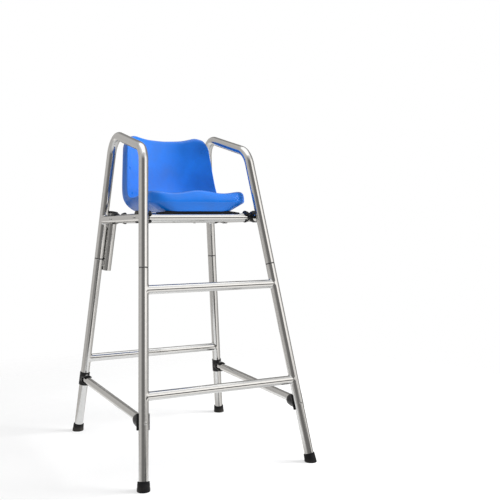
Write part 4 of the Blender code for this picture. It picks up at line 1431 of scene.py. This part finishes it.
    def make_lights(self, context):
        """Soft boxes: a key at the right, a fill at the left, a low one in front, one overhead.

        Each row has a name, a place, what it is aimed at, its width and height, its power, and whether
        reflections show it.
        """
        boxes = (
            ("key", (3.02, -1.22, 2.2), (0.0, 0.0, 1.0), (2.0, 2.0), 185.0, False),
            ("fill", (-3.4, -0.6, 0.9), (0.0, 0.0, 0.9), (2.2, 1.8), 22.0, False),
            ("low", (-0.6, -3.2, 0.3), (0.0, 0.0, 1.2), (2.6, 0.5), 30.0, False),
            ("over", (0.2, 0.2, 3.8), (0.0, 0.0, 0.5), (3.0, 3.0), 20.0, True),
        )
        for name, place, aim, (wide, tall), power, mirrored in boxes:
            lamp = bpy.data.lights.new(name, "AREA")
            lamp.shape = "RECTANGLE"
            lamp.size = wide
            lamp.size_y = tall
            lamp.energy = power
            box = bpy.data.objects.new(name, lamp)
            box.visible_glossy = mirrored
            context.scene.collection.objects.link(box)
            back = unit(np.array(place) - np.array(aim))
            side = unit(np.cross(UP if abs(back[2]) < 0.95 else np.array([0.0, 1.0, 0.0]), back))
            self.set_pose(box, side, np.cross(back, side), back, place)

    def make_camera(self, context):
        """Camera at the front left, level with the seat and looking a little down."""
        turn, rise, roll = (math.radians(angle) for angle in (-29.25, 6.47, 0.39))
        back = np.array([math.sin(turn) * math.cos(rise), -math.cos(turn) * math.cos(rise), math.sin(rise)])
        side = np.array([math.cos(turn), math.sin(turn), 0.0])
        top = np.cross(back, side)
        lens = bpy.data.cameras.new("camera")
        lens.sensor_width = 36.0
        lens.lens = 57.3
        lens.shift_x = -0.0548
        lens.shift_y = 0.0858
        camera = bpy.data.objects.new("camera", lens)
        rolled_side = math.cos(roll) * side + math.sin(roll) * top
        rolled_top = math.cos(roll) * top - math.sin(roll) * side
        self.set_pose(camera, rolled_side, rolled_top, back, (-1.448, -3.465, 1.163))
        context.scene.collection.objects.link(camera)
        context.scene.camera = camera

    @staticmethod
    def set_pose(holder, side, top, back, place):
        """Place of a lamp or camera, and its three axes: side, top and back."""
        pose = np.eye(4)
        pose[:3] = np.column_stack([side, top, back, place])
        holder.matrix_world = Matrix(pose)


PIECES = (
    CHAIR_OT_hoops, CHAIR_OT_legs, CHAIR_OT_rungs, CHAIR_OT_bars, CHAIR_OT_connectors, CHAIR_OT_collars,
    CHAIR_OT_brackets, CHAIR_OT_seat, CHAIR_OT_pole_tube, CHAIR_OT_bolts, CHAIR_OT_stage,
)


class CHAIR_PT_panel(Panel):
    """Operators of the chair, in their order"""
    bl_label = "Lifeguard chair"
    bl_idname = "CHAIR_PT_panel"
    bl_space_type = "VIEW_3D"
    bl_region_type = "UI"
    bl_category = "Chair"

    def draw(self, context):
        for piece in PIECES:
            self.layout.operator(piece.bl_idname)


GROUPS = {
    "chair_sizes": ChairSizes, "fitting_sizes": FittingSizes, "seat_sizes": SeatSizes,
    "finish_colours": FinishColours,
}
CLASSES = (*GROUPS.values(), *PIECES, CHAIR_PT_panel)


def register():
    """Add the classes and hang the sizes on the scene."""
    for kind in CLASSES:
        bpy.utils.register_class(kind)
    for name, kind in GROUPS.items():
        setattr(bpy.types.Scene, name, PointerProperty(type=kind))


def unregister():
    """Take the classes and the sizes away again."""
    for name in GROUPS:
        delattr(bpy.types.Scene, name)
    for kind in reversed(CLASSES):
        bpy.utils.unregister_class(kind)


def main():
    """Build every piece."""
    register()
    for piece in PIECES:
        area, _, call = piece.bl_idname.partition(".")
        getattr(getattr(bpy.ops, area), call)()


if __name__ == "__main__":
    main()
